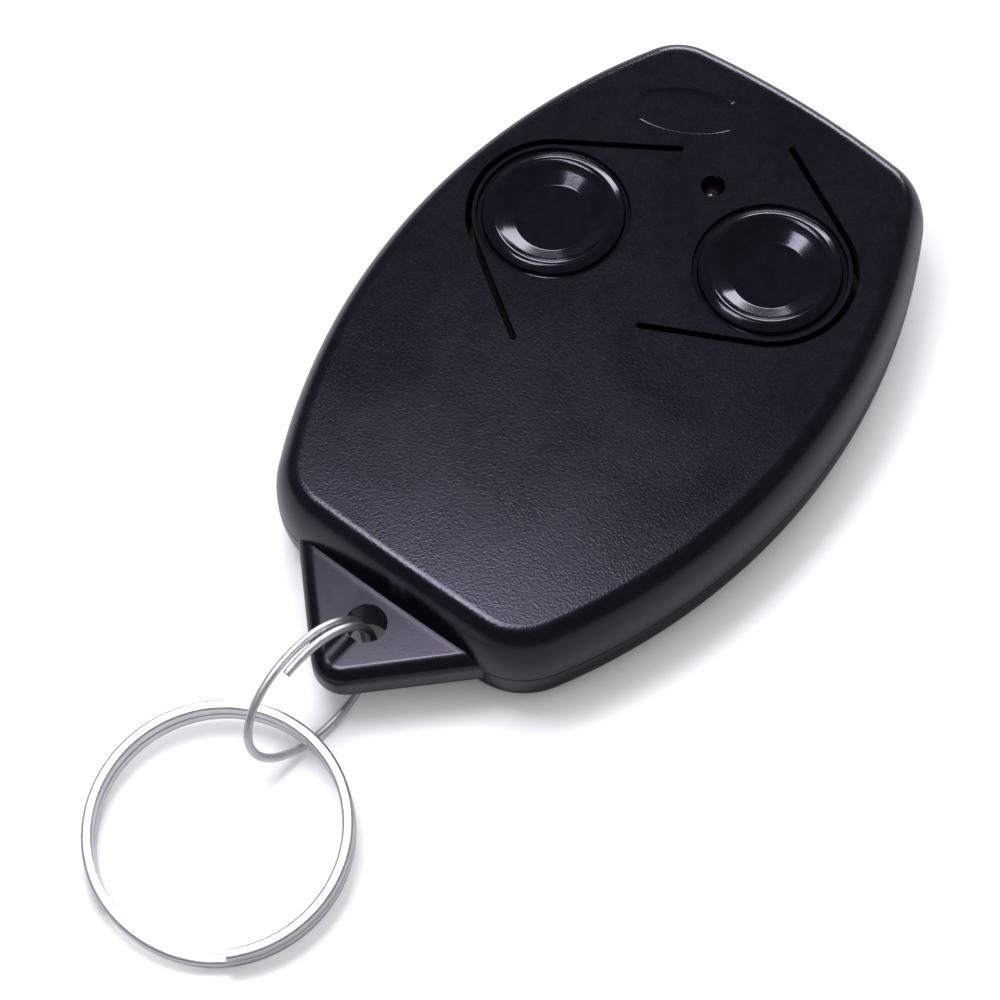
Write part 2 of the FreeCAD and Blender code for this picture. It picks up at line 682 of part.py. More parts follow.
def make_antenna_track():
    """Open copper loop printed along the edge of the board."""
    outer = BOARD_INSET + TRACK_FROM_EDGE
    loop = chord_prism(outer, BOARD_TOP, TRACK_THICKNESS)
    loop = loop.cut(chord_prism(outer + TRACK_WIDTH, BOARD_TOP, TRACK_THICKNESS))
    cut_y = TAIL_Y + TRACK_FROM_TAIL - BODY_LENGTH / 2
    return loop.cut(box(2 * BODY_WIDTH, BODY_LENGTH, TRACK_THICKNESS, 0, cut_y, BOARD_TOP))


def lamp_lead_places():
    return [LAMP_X - LAMP_LEAD_SPACING / 2, LAMP_X + LAMP_LEAD_SPACING / 2]


def make_lamp():
    """Small round lamp whose blunt tip stands in the hole of the face."""
    top = BODY_HEIGHT - LAMP_RECESS
    return flatted([
        (LAMP_RADIUS, BOARD_TOP),
        (LAMP_RADIUS, top - LAMP_TIP_RADIUS),
        (LAMP_TIP_RADIUS, top),
    ], LAMP_X, LAMP_Y, SMALL_PIECE_SIDES)


def make_lamp_leads():
    length = BOARD_THICKNESS + LAMP_LEAD_TAIL
    leads = [
        box(LAMP_LEAD, LAMP_LEAD, length, x, LAMP_Y, BOARD_TOP - length) for x in lamp_lead_places()
    ]
    return Part.Compound(leads)


def cell_ring(radius, low, high):
    return flatted([(radius, low), (radius, high)], 0, CELL_Y, CELL_SIDES)


def make_cell_can():
    """Cup of the coin cell, the positive pole, open at the top."""
    rim = CELL_BOTTOM + CELL_HEIGHT - CELL_CAP_STAND
    return cell_ring(CELL_RADIUS, CELL_BOTTOM, rim).cut(cell_ring(CELL_ROOM_RADIUS, CELL_FLOOR, rim))


def make_cell_cap():
    """Cap of the coin cell, the negative pole, with the filling under it."""
    return cell_ring(CELL_CAP_RADIUS, CELL_FLOOR, CELL_BOTTOM + CELL_HEIGHT)


def make_cell_seal():
    """Plastic ring between the cup and the cap of the cell."""
    rim = CELL_BOTTOM + CELL_HEIGHT - CELL_CAP_STAND
    return cell_ring(CELL_ROOM_RADIUS, CELL_FLOOR, rim).cut(cell_ring(CELL_CAP_RADIUS, CELL_FLOOR, rim))


def make_battery_clip():
    """Sheet strap under the coin cell, with legs that rise to the board."""
    leg_x = CELL_RADIUS + CELL_SIDE_GAP + CLIP_SHEET / 2
    low = CELL_BOTTOM - CLIP_SHEET
    strap = box(2 * leg_x + CLIP_SHEET, CLIP_WIDTH, CLIP_SHEET, 0, CELL_Y, low)
    legs = [
        box(CLIP_SHEET, CLIP_WIDTH, BOARD_BOTTOM - low, side * leg_x, CELL_Y, low) for side in (1, -1)
    ]
    foot_x = leg_x + CLIP_FOOT / 2
    feet = [
        box(CLIP_FOOT, CLIP_WIDTH, CLIP_SHEET, side * foot_x, CELL_Y, BOARD_BOTTOM - CLIP_SHEET)
        for side in (1, -1)
    ]
    return joined([strap] + legs + feet)


def make_cell_pad():
    """Square contact on the underside of the board that meets the cap of the cell."""
    top_of_cell = CELL_BOTTOM + CELL_HEIGHT
    pad = box(PAD_SIZE, PAD_SIZE, PAD_HEIGHT, 0, CELL_Y, top_of_cell)
    return pad.makeChamfer(PAD_HEIGHT / 3, edges_at(pad, top_of_cell))


def make_switch_base(centre_x, centre_y):
    base = box(SWITCH_SIZE, SWITCH_SIZE, SWITCH_BASE_HEIGHT, centre_x, centre_y, BOARD_TOP)
    upright = [e for e in base.Edges if e.BoundBox.ZLength > SWITCH_BASE_HEIGHT / 2]
    base = base.makeChamfer(SWITCH_CORNER, upright)
    top = BOARD_TOP + SWITCH_BASE_HEIGHT
    depth = 2 * DOME_GAP + PLUNGER_FLANGE + DOME_RISE
    return base.cut(peg(SWITCH_CAVITY_RADIUS, depth, centre_x, centre_y, top - depth))


def make_switch_frame(centre_x, centre_y):
    """Thin metal cover that holds the plunger in the switch."""
    top = BOARD_TOP + SWITCH_BASE_HEIGHT
    sheet = box(SWITCH_SIZE, SWITCH_SIZE, SWITCH_SHEET, centre_x, centre_y, top)
    upright = [e for e in sheet.Edges if e.BoundBox.ZLength > SWITCH_SHEET / 2]
    sheet = sheet.makeChamfer(SWITCH_CORNER, upright)
    ears = [
        box(SWITCH_SHEET, SWITCH_SIZE / 3, SWITCH_EAR_DROP + SWITCH_SHEET,
            centre_x + side * (SWITCH_SIZE + SWITCH_SHEET) / 2, centre_y, top - SWITCH_EAR_DROP)
        for side in (1, -1)
    ]
    frame = joined([sheet] + ears)
    return frame.cut(peg(PLUNGER_RADIUS + PLUNGER_FIT, SWITCH_SHEET, centre_x, centre_y, top))


def make_switch_plunger(centre_x, centre_y):
    flange_top = BOARD_TOP + SWITCH_BASE_HEIGHT - DOME_GAP
    flange = peg(PLUNGER_FLANGE_RADIUS, PLUNGER_FLANGE, centre_x, centre_y, flange_top - PLUNGER_FLANGE)
    top = BOARD_TOP + SWITCH_HEIGHT
    stem = peg(PLUNGER_RADIUS, top - flange_top, centre_x, centre_y, flange_top)
    return joined([flange, stem])


def make_switch_dome(centre_x, centre_y):
    """Snap disc with a flat crown that clicks under the plunger."""
    crown = BOARD_TOP + SWITCH_BASE_HEIGHT - PLUNGER_FLANGE - 2 * DOME_GAP
    foot = crown - DOME_RISE
    return flatted([
        (DOME_RADIUS, foot),
        (DOME_RADIUS, foot + DOME_SHEET),
        (DOME_RADIUS / 2, crown),
    ], centre_x, centre_y, SMALL_PIECE_SIDES)


def make_switch_terminals(centre_x, centre_y):
    """Four flat legs of a switch, standing on the board."""
    legs = []
    reach = SWITCH_SIZE / 2 + TERMINAL_REACH / 2
    for side in (1, -1):
        for row in (1, -1):
            legs.append(box(
                TERMINAL_WIDTH, TERMINAL_REACH, TERMINAL_SHEET,
                centre_x + side * TERMINAL_OFFSET, centre_y + row * reach, BOARD_TOP))
    return Part.Compound(legs)


def make_chip():
    top = BOARD_TOP + CHIP_HEIGHT
    height = CHIP_HEIGHT - CHIP_STAND
    block = box(CHIP_WIDTH, CHIP_LENGTH, height, chip_x(), CHIP_Y, BOARD_TOP + CHIP_STAND)
    block = block.makeChamfer(CHIP_STAND, edges_at(block, top))
    spot_x = chip_x() - CHIP_WIDTH / 4
    spot_y = CHIP_Y + CHIP_LENGTH / 3
    return block.cut(peg(CHIP_MARK_RADIUS, CHIP_STAND, spot_x, spot_y, top - CHIP_STAND))


def make_chip_pins():
    """Bent legs of the chip: a shoulder, a drop and a foot on the board."""
    sheet = CHIP_STAND
    shoulder = BOARD_TOP + CHIP_HEIGHT / 2
    pins = []
    for side in (1, -1):
        wall_x = chip_x() + side * CHIP_WIDTH / 2
        bend_x = wall_x + side * CHIP_PIN_REACH / 2
        tip_x = wall_x + side * CHIP_PIN_REACH
        profile = [
            (wall_x, shoulder),
            (bend_x, shoulder),
            (bend_x, BOARD_TOP + sheet),
            (tip_x, BOARD_TOP + sheet),
            (tip_x, BOARD_TOP),
            (bend_x - side * sheet, BOARD_TOP),
            (bend_x - side * sheet, shoulder - sheet),
            (wall_x, shoulder - sheet),
        ]
        for row in range(CHIP_PINS_A_SIDE):
            y = CHIP_Y + (row - (CHIP_PINS_A_SIDE - 1) / 2) * CHIP_PITCH - CHIP_PIN_WIDTH / 2
            wire = Part.makePolygon([place(x, y, z) for x, z in profile + profile[:1]])
            pins.append(Part.Face(wire).extrude(place(0, CHIP_PIN_WIDTH, 0)))
    return Part.Compound(pins)


def make_resonator_base():
    height = RESONATOR_HEIGHT - RESONATOR_LID
    return box(RESONATOR_SIZE, RESONATOR_SIZE, height, RESONATOR_X, RESONATOR_Y, BOARD_TOP)


def make_resonator_lid():
    size = RESONATOR_SIZE - RESONATOR_LID
    z = BOARD_TOP + RESONATOR_HEIGHT - RESONATOR_LID
    lid = box(size, size, RESONATOR_LID, RESONATOR_X, RESONATOR_Y, z)
    return lid.makeChamfer(RESONATOR_LID / 2, edges_at(lid, BOARD_TOP + RESONATOR_HEIGHT))


def make_transistor():
    block = box(
        TRANSISTOR_WIDTH, TRANSISTOR_LENGTH, TRANSISTOR_HEIGHT, TRANSISTOR_X, TRANSISTOR_Y, BOARD_TOP)
    return block.makeChamfer(CHIP_STAND, edges_at(block, BOARD_TOP + TRANSISTOR_HEIGHT))


def make_transistor_legs():
    """Three flat legs: two on one side and one on the other."""
    reach = TRANSISTOR_WIDTH / 2 + CHIP_PIN_REACH / 4
    legs = []
    for side, row in ((1, 0), (-1, 1), (-1, -1)):
        legs.append(box(
            CHIP_PIN_REACH / 2, CHIP_PIN_WIDTH, CHIP_STAND,
            TRANSISTOR_X + side * reach, TRANSISTOR_Y + row * TRANSISTOR_LENGTH / 3, BOARD_TOP))
    return Part.Compound(legs)


def make_coil():
    """Small wound choke: a waist of wire between two square ends."""
    ends = [
        box(COIL_SIZE, COIL_FLANGE, COIL_SIZE, COIL_X,
            COIL_Y + side * (COIL_LENGTH - COIL_FLANGE) / 2, BOARD_TOP)
        for side in (1, -1)
    ]
    waist = Part.makeCylinder(
        COIL_WAIST_RADIUS, COIL_LENGTH - COIL_FLANGE,
        place(COIL_X, COIL_Y - (COIL_LENGTH - COIL_FLANGE) / 2, BOARD_TOP + COIL_SIZE / 2), place(0, 1, 0))
    return joined(ends + [waist])


def make_chip_parts(places, height):
    """Like-sized brick parts, each a separate solid on the board."""
    bricks = [box(CHIP_PART_LENGTH, CHIP_PART_WIDTH, height, x, y, BOARD_TOP) for x, y in places]
    return Part.Compound(bricks)


def resistor_places():
    column_x = RESISTOR_COLUMN_FROM_SIDE - SIDE_X
    column_y = TAIL_Y + RESISTOR_COLUMN_FROM_TAIL
    pair_y = TAIL_Y + RESISTOR_PAIR_FROM_TAIL
    column = [(column_x, column_y + row * RESISTOR_PITCH) for row in range(3)]
    pair = [(RESISTOR_PAIR_X, pair_y + row * RESISTOR_PITCH) for row in range(2)]
    return column + pair


def capacitor_places():
    y = TAIL_Y + CAPACITOR_PAIR_FROM_TAIL
    x = SIDE_X - CAPACITOR_PAIR_FROM_SIDE
    return [(x, y), (x + CAPACITOR_PAIR_STEP, y), (chip_x(), y)]


def arc_from(start, heading, end):
    """The arc that leaves start along heading and arrives at end."""
    chord = end - start
    unit = Vector(heading).normalize()
    across = chord - unit * chord.dot(unit)
    turn = math.atan2(across.Length, chord.dot(unit))
    bulge = Vector(across).normalize() * -1
    side = Vector(chord).normalize()
    lift = (bulge - side * bulge.dot(side)).normalize()
    middle = start + chord * 0.5 + lift * (chord.Length / 2 * math.tan(turn / 2))
    return Part.Arc(start, middle, end).toShape()


def biarc(start, start_heading, end, end_heading):
    """Two arcs that join two points with the given headings at both ends."""
    chord = end - start
    both = start_heading + end_heading
    a = 2 * (1 - start_heading.dot(end_heading))
    b = 2 * chord.dot(both)
    c = -chord.dot(chord)
    reach = (-b + math.sqrt(b * b - 4 * a * c)) / (2 * a)
    knee = (start + start_heading * reach + end - end_heading * reach) * 0.5
    first = arc_from(start, start_heading, knee)
    second = arc_from(end, end_heading * -1, knee)
    return [first, second]


def jump_axes():
    """Directions of the jump ring: along it, up across it, and square to it."""
    heading = math.radians(JUMP_HEADING)
    rise = math.radians(JUMP_RISE)
    lean = math.radians(JUMP_LEAN)
    along = place(math.sin(heading) * math.cos(rise), -math.cos(heading) * math.cos(rise), math.sin(rise))
    upright = (place(0, 0, 1) - along * along.z).normalize()
    aside = along.cross(upright)
    across = upright * math.cos(lean) + aside * math.sin(lean)
    return along, across, along.cross(across) * -1


def jump_point(turn):
    """Point and heading of the wire, turn counted from the tab hole."""
    along, across, normal = jump_axes()
    angle = 2 * math.pi * turn
    hole = place(0, TAB_HOLE_Y, (TAB_TOP + TAB_BOTTOM) / 2)
    centre = hole + along * JUMP_HALF_LENGTH
    point = centre - along * (JUMP_HALF_LENGTH * math.cos(angle))
    point += across * (JUMP_HALF_HEIGHT * math.sin(angle)) + normal * (JUMP_PITCH * (turn + 0.5))
    heading = along * (JUMP_HALF_LENGTH * math.sin(angle)) + across * (JUMP_HALF_HEIGHT * math.cos(angle))
    heading += normal * (JUMP_PITCH / (2 * math.pi))
    return point, heading.normalize()


def make_jump_ring():
    """One unbroken wire that goes a little over one turn, each span a pair of arcs."""
    edges = []
    for low, high in zip(JUMP_TURNS, JUMP_TURNS[1:]):
        start, start_heading = jump_point(low)
        end, end_heading = jump_point(high)
        edges += biarc(start, start_heading, end, end_heading)
    path = Part.Wire(Part.__sortEdges__(edges))
    start, heading = jump_point(JUMP_TURNS[0])
    circle = Part.Circle(start, heading, JUMP_WIRE_RADIUS)
    corners = [circle.value(2 * math.pi * side / JUMP_WIRE_SIDES) for side in range(JUMP_WIRE_SIDES)]
    section = Part.makePolygon(corners + corners[:1])
    return path.makePipeShell([section], True, False)


def ring_arc(start, end, z):
    """Arc of the middle of the ring's band, angles in degrees."""
    radius = RING_OUTER_RADIUS - RING_BAND / 2
    angles = [math.radians(a) for a in (start, (start + end) / 2, end)]
    return Part.Arc(*[ray(a) * radius + place(0, 0, z) for a in angles]).toShape()


def ring_ramp(start, end, high, low):
    """Smooth descent of the band from the upper layer to the lower one, steepest half way."""
    radius = RING_OUTER_RADIUS - RING_BAND / 2
    length = radius * math.radians(end - start)
    steepest = RING_RAMP_STEEPEST * (low - high) / length
    stations = [(start, high, 0), ((start + end) / 2, (high + low) / 2, steepest), (end, low, 0)]
    points = []
    for degrees, z, slope in stations:
        angle = math.radians(degrees)
        heading = place(-math.sin(angle), math.cos(angle), slope).normalize()
        points.append((ray(angle) * radius + place(0, 0, z), heading))
    edges = []
    for (a, heading_a), (b, heading_b) in zip(points, points[1:]):
        edges += biarc(a, heading_a, b, heading_b)
    return edges


def make_key_ring():
    """Split ring: an upper layer, a ramp down, and a lower layer under the first."""
    low = RING_LAYER / 2
    high = low + RING_LAYER + RING_LAYER_GAP
    upper_start = RING_RAMP_END
    upper_end = RING_RAMP_START + 360
    lower_start = RING_RAMP_END + 360
    lower_end = RING_RAMP_START + 720
    edges = [ring_arc(upper_start, (upper_start + upper_end) / 2, high)]
    edges.append(ring_arc((upper_start + upper_end) / 2, upper_end, high))
    edges += ring_ramp(upper_end, lower_start, high, low)
    edges.append(ring_arc(lower_start, (lower_start + lower_end) / 2, low))
    edges.append(ring_arc((lower_start + lower_end) / 2, lower_end, low))
    path = Part.Wire(Part.__sortEdges__(edges))
    section = Part.makePolygon([
        place(RING_OUTER_RADIUS - RING_BAND, 0, high - RING_LAYER / 2),
        place(RING_OUTER_RADIUS, 0, high - RING_LAYER / 2),
        place(RING_OUTER_RADIUS, 0, high + RING_LAYER / 2),
        place(RING_OUTER_RADIUS - RING_BAND, 0, high + RING_LAYER / 2),
        place(RING_OUTER_RADIUS - RING_BAND, 0, high - RING_LAYER / 2),
    ])
    section.rotate(place(0, 0, 0), place(0, 0, 1), upper_start)
    maker = Part.BRepOffsetAPI.MakePipeShell(path)
    maker.setBiNormalMode(place(0, 0, 1))
    maker.add(section)
    maker.build()
    maker.makeSolid()
    ring = maker.shape()
    lift = (TAB_TOP + TAB_BOTTOM) / 2 - RING_BELOW_TAB_MIDDLE
    tilt = math.degrees(math.asin(lift / (2 * RING_OUTER_RADIUS)))
    ring.rotate(place(0, -RING_OUTER_RADIUS, 0), place(1, 0, 0), tilt)
    return ring.translated(place(RING_X, RING_Y, 0))


def build():
    parts = {
        "front_cover": make_front_cover(),
        "back_cover": make_back_cover(),
        "cover_screw": make_screw(),
        "circuit_board": make_board(),
        "antenna_track": make_antenna_track(),
        "indicator_lamp": make_lamp(),
        "indicator_lamp_leads": make_lamp_leads(),
        "coin_cell_can": make_cell_can(),
        "coin_cell_seal": make_cell_seal(),
        "coin_cell_cap": make_cell_cap(),
        "battery_clip": make_battery_clip(),
        "battery_contact": make_cell_pad(),
        "encoder_chip": make_chip(),
        "encoder_chip_pins": make_chip_pins(),
        "resonator_base": make_resonator_base(),
        "resonator_lid": make_resonator_lid(),
        "transistor": make_transistor(),
        "transistor_legs": make_transistor_legs(),
        "choke_coil": make_coil(),
        "chip_resistors": make_chip_parts(resistor_places(), RESISTOR_HEIGHT),
        "chip_capacitors": make_chip_parts(capacitor_places(), CAPACITOR_HEIGHT),
        "jump_ring": make_jump_ring(),
        "key_ring": make_key_ring(),
    }
    for name, key in KEYS.items():
        x, y = key[:2]
        parts["key_" + name] = make_key(key)
        parts["switch_base_" + name] = make_switch_base(x, y)
        parts["switch_frame_" + name] = make_switch_frame(x, y)
        parts["switch_plunger_" + name] = make_switch_plunger(x, y)
        parts["switch_dome_" + name] = make_switch_dome(x, y)
        parts["switch_terminals_" + name] = make_switch_terminals(x, y)
    return parts


os.makedirs("parts", exist_ok=True)
for node, shape in build().items():
    shape.exportStep("parts/" + node + ".step")
    print(node, "valid" if shape.isValid() else "INVALID", len(shape.Solids), round(shape.Volume, 3))
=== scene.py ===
import json
import math
import bmesh
import bpy
from mathutils import Matrix, Vector


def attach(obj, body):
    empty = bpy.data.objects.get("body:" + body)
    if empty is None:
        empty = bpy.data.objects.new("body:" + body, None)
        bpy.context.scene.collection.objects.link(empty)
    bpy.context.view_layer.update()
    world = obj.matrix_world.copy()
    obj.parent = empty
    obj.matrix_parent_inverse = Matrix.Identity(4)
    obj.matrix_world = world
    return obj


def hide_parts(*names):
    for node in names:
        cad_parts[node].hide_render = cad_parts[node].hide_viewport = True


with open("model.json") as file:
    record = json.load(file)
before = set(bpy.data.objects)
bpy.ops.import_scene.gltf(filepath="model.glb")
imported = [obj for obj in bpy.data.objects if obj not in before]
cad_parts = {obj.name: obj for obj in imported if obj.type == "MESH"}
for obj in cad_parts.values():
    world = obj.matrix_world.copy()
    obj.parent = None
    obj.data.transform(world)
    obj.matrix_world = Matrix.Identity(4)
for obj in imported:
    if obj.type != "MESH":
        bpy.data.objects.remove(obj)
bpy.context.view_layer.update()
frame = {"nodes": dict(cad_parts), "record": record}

# Sizes in millimetres. Most are the same as in the construction; the slot, the dish, the crest and
# the grooves follow the photo more closely.
BODY_WIDTH = 38.0
BODY_LENGTH = 53.0
BODY_HEIGHT = 10.0
SIDE_RADIUS = 49.4
LAMP_END_RADIUS = 75.6
TAIL_RADIUS = 313.0
LAMP_END_CORNER = 5.2
TAIL_CORNER = 6.1
FACE_ROUNDING = 2.16
FACE_SQUARENESS = 2.26
BACK_ROUNDING = 3.3
BACK_SQUARENESS = 2.6
SIDE_WALL = 1.5
FACE_WALL = 1.4
BACK_WALL = 1.3
FRONT_ROOM_DRAFT = 0.65
BACK_ROOM_DRAFT = 1
PARTING = BODY_HEIGHT / 2
PARTING_GROOVE = 0.07
CUT_OVER = 1
TAIL_Y = -BODY_LENGTH / 2
LAMP_END_Y = BODY_LENGTH / 2

TAB_REACH = 7.5
TAB_TIP_RADIUS = 2.5
TAB_HALF_ANGLE = math.radians(45)
TAB_TOP = 6.3
TAB_BOTTOM = 2.8
TAB_TOP_FILLET = 1.15
TAB_BOTTOM_FILLET = 1.2
TAB_ROOT_IN_WALL = 1.2
TAB_HOLE_RADIUS = 1.55
TAB_HOLE_Y = TAIL_Y - 2.4

# The skin of a key fits its slot closely; the plate below has more play and stops at the hinge
# groove. The crest is turned from the stock above the face.
SLOT_RADIUS = 6.5
SLOT_WIDTH = 0.5
KEY_ROOT_OFFSET = 6.05
KEY_PLATE = 1.2
KEY_TOP_STOCK = 0.35
KEY_FIT = 0.012
KEY_PLAY = 0.04
HINGE_SKIN = 0.3
HINGE_GROOVE = 0.2
JOIN_OVERLAP = 0.02
MOAT_RADIUS = 5.95
MOAT_FLOOR_RADII = (5.83, 5.55)
MOAT_DEPTH = 0.38
CREST_FOOT_RADIUS = 5.4
CREST_SHOULDER_RADIUS = 5.0
CREST_SHOULDER_HEIGHT = 0.235
CREST_RADIUS = 4.75
CREST_HEIGHT = 0.29
DISH_RADIUS = 4.45
DISH_RIM_HEIGHT = 0.17
DISH_WALL_RADIUS = 4.05
DISH_WALL_DROP = 0.1
DISH_WALL_RINGS = (0, 0.08, 0.92)
DISH_FOOT_RADIUS = 3.0
DISH_FOOT_RISE = 0.025
DISH_FOOT_SAG = 0.26
DISH_FLOOR_RADIUS = 2.9
DISH_DEPTH = 0.683
CUTTER_RADIUS = 20
CUTTER_HEIGHT = 2

# Each key: centre x, centre y, side of its root, slot angle, offset of the slot ends
KEYS = {
    "left": (-9.2, LAMP_END_Y - 21.0, 1, math.radians(33), 4.3),
    "right": (7.0, LAMP_END_Y - 15.2, -1, math.radians(27), 5.0),
}
POST_RADIUS = 1.0
POST_TIP = 7.65
BOSS_RADIUS = 3.35
BOSS_BOTTOM = 8.2
BOSS_TOP_RADIUS = 4.2
BOSS_TOP = 8.9

LAMP_X = -0.9
LAMP_Y = LAMP_END_Y - 11.7
LAMP_HOLE_RADIUS = 0.95
LAMP_RADIUS = 0.9
LAMP_RECESS = 0.8
LAMP_FOOT = 5.6
LAMP_NOSE = 0.5
OVAL_X = -6.6
OVAL_Y = LAMP_END_Y - 7.3
OVAL_HALF_LENGTH = 4.6
OVAL_HALF_WIDTH = 2.1
OVAL_TILT = math.radians(28)
OVAL_DEPTH = 0.15

SCREW_Y = TAIL_Y + 6.2
SCREW_SEAT_RADIUS = 2.15
SCREW_SEAT_DEPTH = 1.45
SCREW_SINK = 0.25
SCREW_HEAD = 1.2
SCREW_HEAD_RADIUS = 1.9
SCREW_CROWN_RADII = (SCREW_HEAD_RADIUS * 0.55, SCREW_HEAD_RADIUS * 0.86)
SCREW_CROWN_DROPS = (0.16, 0.5)
SCREW_HEAD_CHAMFER = 0.12
SCREW_RADIUS = 0.95
SCREW_CORE = 0.72
SCREW_PITCH = 0.75
SCREW_THREAD = 0.4
SCREW_PLAIN_TOP = 0.5
SCREW_PLAIN_TIP = 0.9
SCREW_POINT = 0.7
SCREW_POINT_RADIUS = 0.25
SCREW_LENGTH = 5.8
CROSS_RADII = (0.5, 0.36)
CROSS_SCALE = (3.1, 0.68, 1)
CROSS_BAR_DEPTH = 0.9
CROSS_BAR_LEVEL = 0.3

JUMP_WIRE_RADIUS = 0.325
JUMP_HALF_LENGTH = 6.15
JUMP_HALF_HEIGHT = 4.5
JUMP_LEAN = math.radians(16)
JUMP_HEADING = math.radians(-4.3)
JUMP_RISE = math.radians(1)
JUMP_PITCH = 0.95
JUMP_START = -1.15
JUMP_END = 0.29
JUMP_STEPS = 150
JUMP_CUT_ROUNDING = 0.08
JUMP_CUT_ANGLE = math.radians(60)

RING_OUTER_RADIUS = 9.9
RING_BAND = 0.85
RING_LAYER = 1.05
RING_LAYER_GAP = 0.06
RING_WIRE_ROUNDING = 0.24
RING_RAMP_START = math.radians(-108)
RING_RAMP_END = math.radians(-46.5)
RING_TURN_STEPS = 110
RING_RAMP_STEPS = 28
RING_X = 0.42
RING_Y = TAB_HOLE_Y - 7.9 - RING_OUTER_RADIUS
RING_LIFT = 1.31

# Mesh settings: length of a side's arc, steps of a wall's rounding, weld distance, smooth shading
SIDE_ARC = 44
SECTION_STEPS = 18
WELD = 1e-4
SMOOTH_ANGLE = math.radians(35)
UP = Vector((0, 0, 1))


# Mesh helpers

def ray(angle):
    return Vector((math.cos(angle), math.sin(angle), 0))


def inner_corner(centre_a, reach_a, centre_b, reach_b):
    """Crossing of two circles that lies on the +X side."""
    span = centre_b - centre_a
    along = (reach_a ** 2 - reach_b ** 2 + span.length ** 2) / (2 * span.length)
    aside = math.sqrt(reach_a ** 2 - along ** 2)
    step = span.normalized()
    across = Vector((-step.y, step.x, 0))
    return max((centre_a + step * along + across * s for s in (aside, -aside)), key=lambda p: p.x)


def outline_arcs():
    """The arcs of the casing outline: centre, radius, start and end angle."""
    side = Vector((BODY_WIDTH / 2 - SIDE_RADIUS, 0, 0))
    lamp_end = Vector((0, LAMP_END_Y - LAMP_END_RADIUS, 0))
    tail = Vector((0, TAIL_Y + TAIL_RADIUS, 0))
    upper = inner_corner(side, SIDE_RADIUS - LAMP_END_CORNER,
                         lamp_end, LAMP_END_RADIUS - LAMP_END_CORNER)
    lower = inner_corner(side, SIDE_RADIUS - TAIL_CORNER, tail, TAIL_RADIUS - TAIL_CORNER)
    upper_side = math.atan2(upper.y - side.y, upper.x - side.x)
    upper_end = math.atan2(upper.y - lamp_end.y, upper.x - lamp_end.x)
    lower_side = math.atan2(lower.y - side.y, lower.x - side.x)
    lower_end = math.atan2(lower.y - tail.y, lower.x - tail.x)
    right = [
        (tail, TAIL_RADIUS, -math.pi / 2, lower_end),
        (lower, TAIL_CORNER, lower_end, lower_side),
        (side, SIDE_RADIUS, lower_side, upper_side),
        (upper, LAMP_END_CORNER, upper_side, upper_end),
        (lamp_end, LAMP_END_RADIUS, upper_end, math.pi / 2),
    ]
    left = [(Vector((-c.x, c.y, 0)), r, math.pi - b, math.pi - a) for c, r, a, b in reversed(right)]
    return right + left


def spun(bm, geom, centre, axis, angle, steps, **extra):
    """Spins a chain or face and returns its last copy."""
    done = bmesh.ops.spin(bm, geom=geom, cent=centre, axis=axis, angle=angle, steps=steps, **extra)
    return done["geom_last"]


def chain(bm, points):
    """Vertices joined by edges, one after another."""
    verts = [bm.verts.new(p) for p in points]
    edges = [bm.edges.new(pair) for pair in zip(verts, verts[1:])]
    return verts + edges


def close_holes(bm):
    """Merges doubles, closes open loops and points all faces outwards."""
    bmesh.ops.remove_doubles(bm, verts=bm.verts, dist=WELD)
    open_edges = [e for e in bm.edges if e.is_boundary]
    if open_edges:
        bmesh.ops.holes_fill(bm, edges=open_edges, sides=0)
    bmesh.ops.recalc_face_normals(bm, faces=bm.faces)
    return bm


def walled(section, steps_long=28, steps_corner=16):
    """A closed body whose wall is a section of (inset, z) swept round the casing outline.

    A side takes steps_long steps. The two ends take their share of them, and at least eight.
    """
    bm = bmesh.new()
    centre, radius, start, _ = outline_arcs()[0]
    geom = chain(bm, [centre + ray(start) * (radius - inset) + UP * z for inset, z in section])
    for centre, radius, start, end in outline_arcs():
        is_corner = radius < SIDE_RADIUS
        share = radius * (end - start) / SIDE_ARC
        steps = steps_corner if is_corner else max(8, int(steps_long * share))
        geom = spun(bm, geom, centre, UP, end - start, steps)
    return close_holes(bm)


def turned(section, x, y, steps):
    """A closed body turned from a half section of (radius, z) round an upright axis."""
    bm = bmesh.new()
    geom = chain(bm, [(r, 0, z) for r, z in section])
    spun(bm, geom, (0, 0, 0), UP, 2 * math.pi, steps, use_merge=True)
    bmesh.ops.translate(bm, verts=bm.verts, vec=(x, y, 0))
    return close_holes(bm)


def raised(bm, low, high):
    """Turns a closed chain at z 0 into a block between two levels."""
    bmesh.ops.remove_doubles(bm, verts=bm.verts, dist=WELD)
    bmesh.ops.contextual_create(bm, geom=bm.edges[:])
    bmesh.ops.translate(bm, verts=bm.verts, vec=(0, 0, low))
    top = bmesh.ops.extrude_face_region(bm, geom=bm.faces[:])["geom"]
    top_verts = [g for g in top if isinstance(g, bmesh.types.BMVert)]
    bmesh.ops.translate(bm, verts=top_verts, vec=(0, 0, high - low))
    bmesh.ops.recalc_face_normals(bm, faces=bm.faces)
    return bm


def cylinder(radius, low, high, x, y, segments=48):
    bm = bmesh.new()
    place = Matrix.Translation((x, y, (low + high) / 2))
    bmesh.ops.create_cone(bm, cap_ends=True, segments=segments, radius1=radius, radius2=radius,
                          depth=high - low, matrix=place)
    return bm


def rotate(bm, angle, axis, centre=(0, 0, 0)):
    bmesh.ops.rotate(bm, verts=bm.verts, cent=centre, matrix=Matrix.Rotation(angle, 3, axis))


def soften(bm, radius, segments, wanted):
    """Rounds the edges that the test picks."""
    edges = [e for e in bm.edges if e.is_manifold and wanted(e)]
    bmesh.ops.bevel(bm, geom=edges, offset=radius, offset_type="OFFSET", segments=segments,
                    profile=0.5, affect="EDGES", clamp_overlap=True, material=-1)
    return bm


def edge_middle(edge):
    return (edge.verts[0].co + edge.verts[1].co) / 2


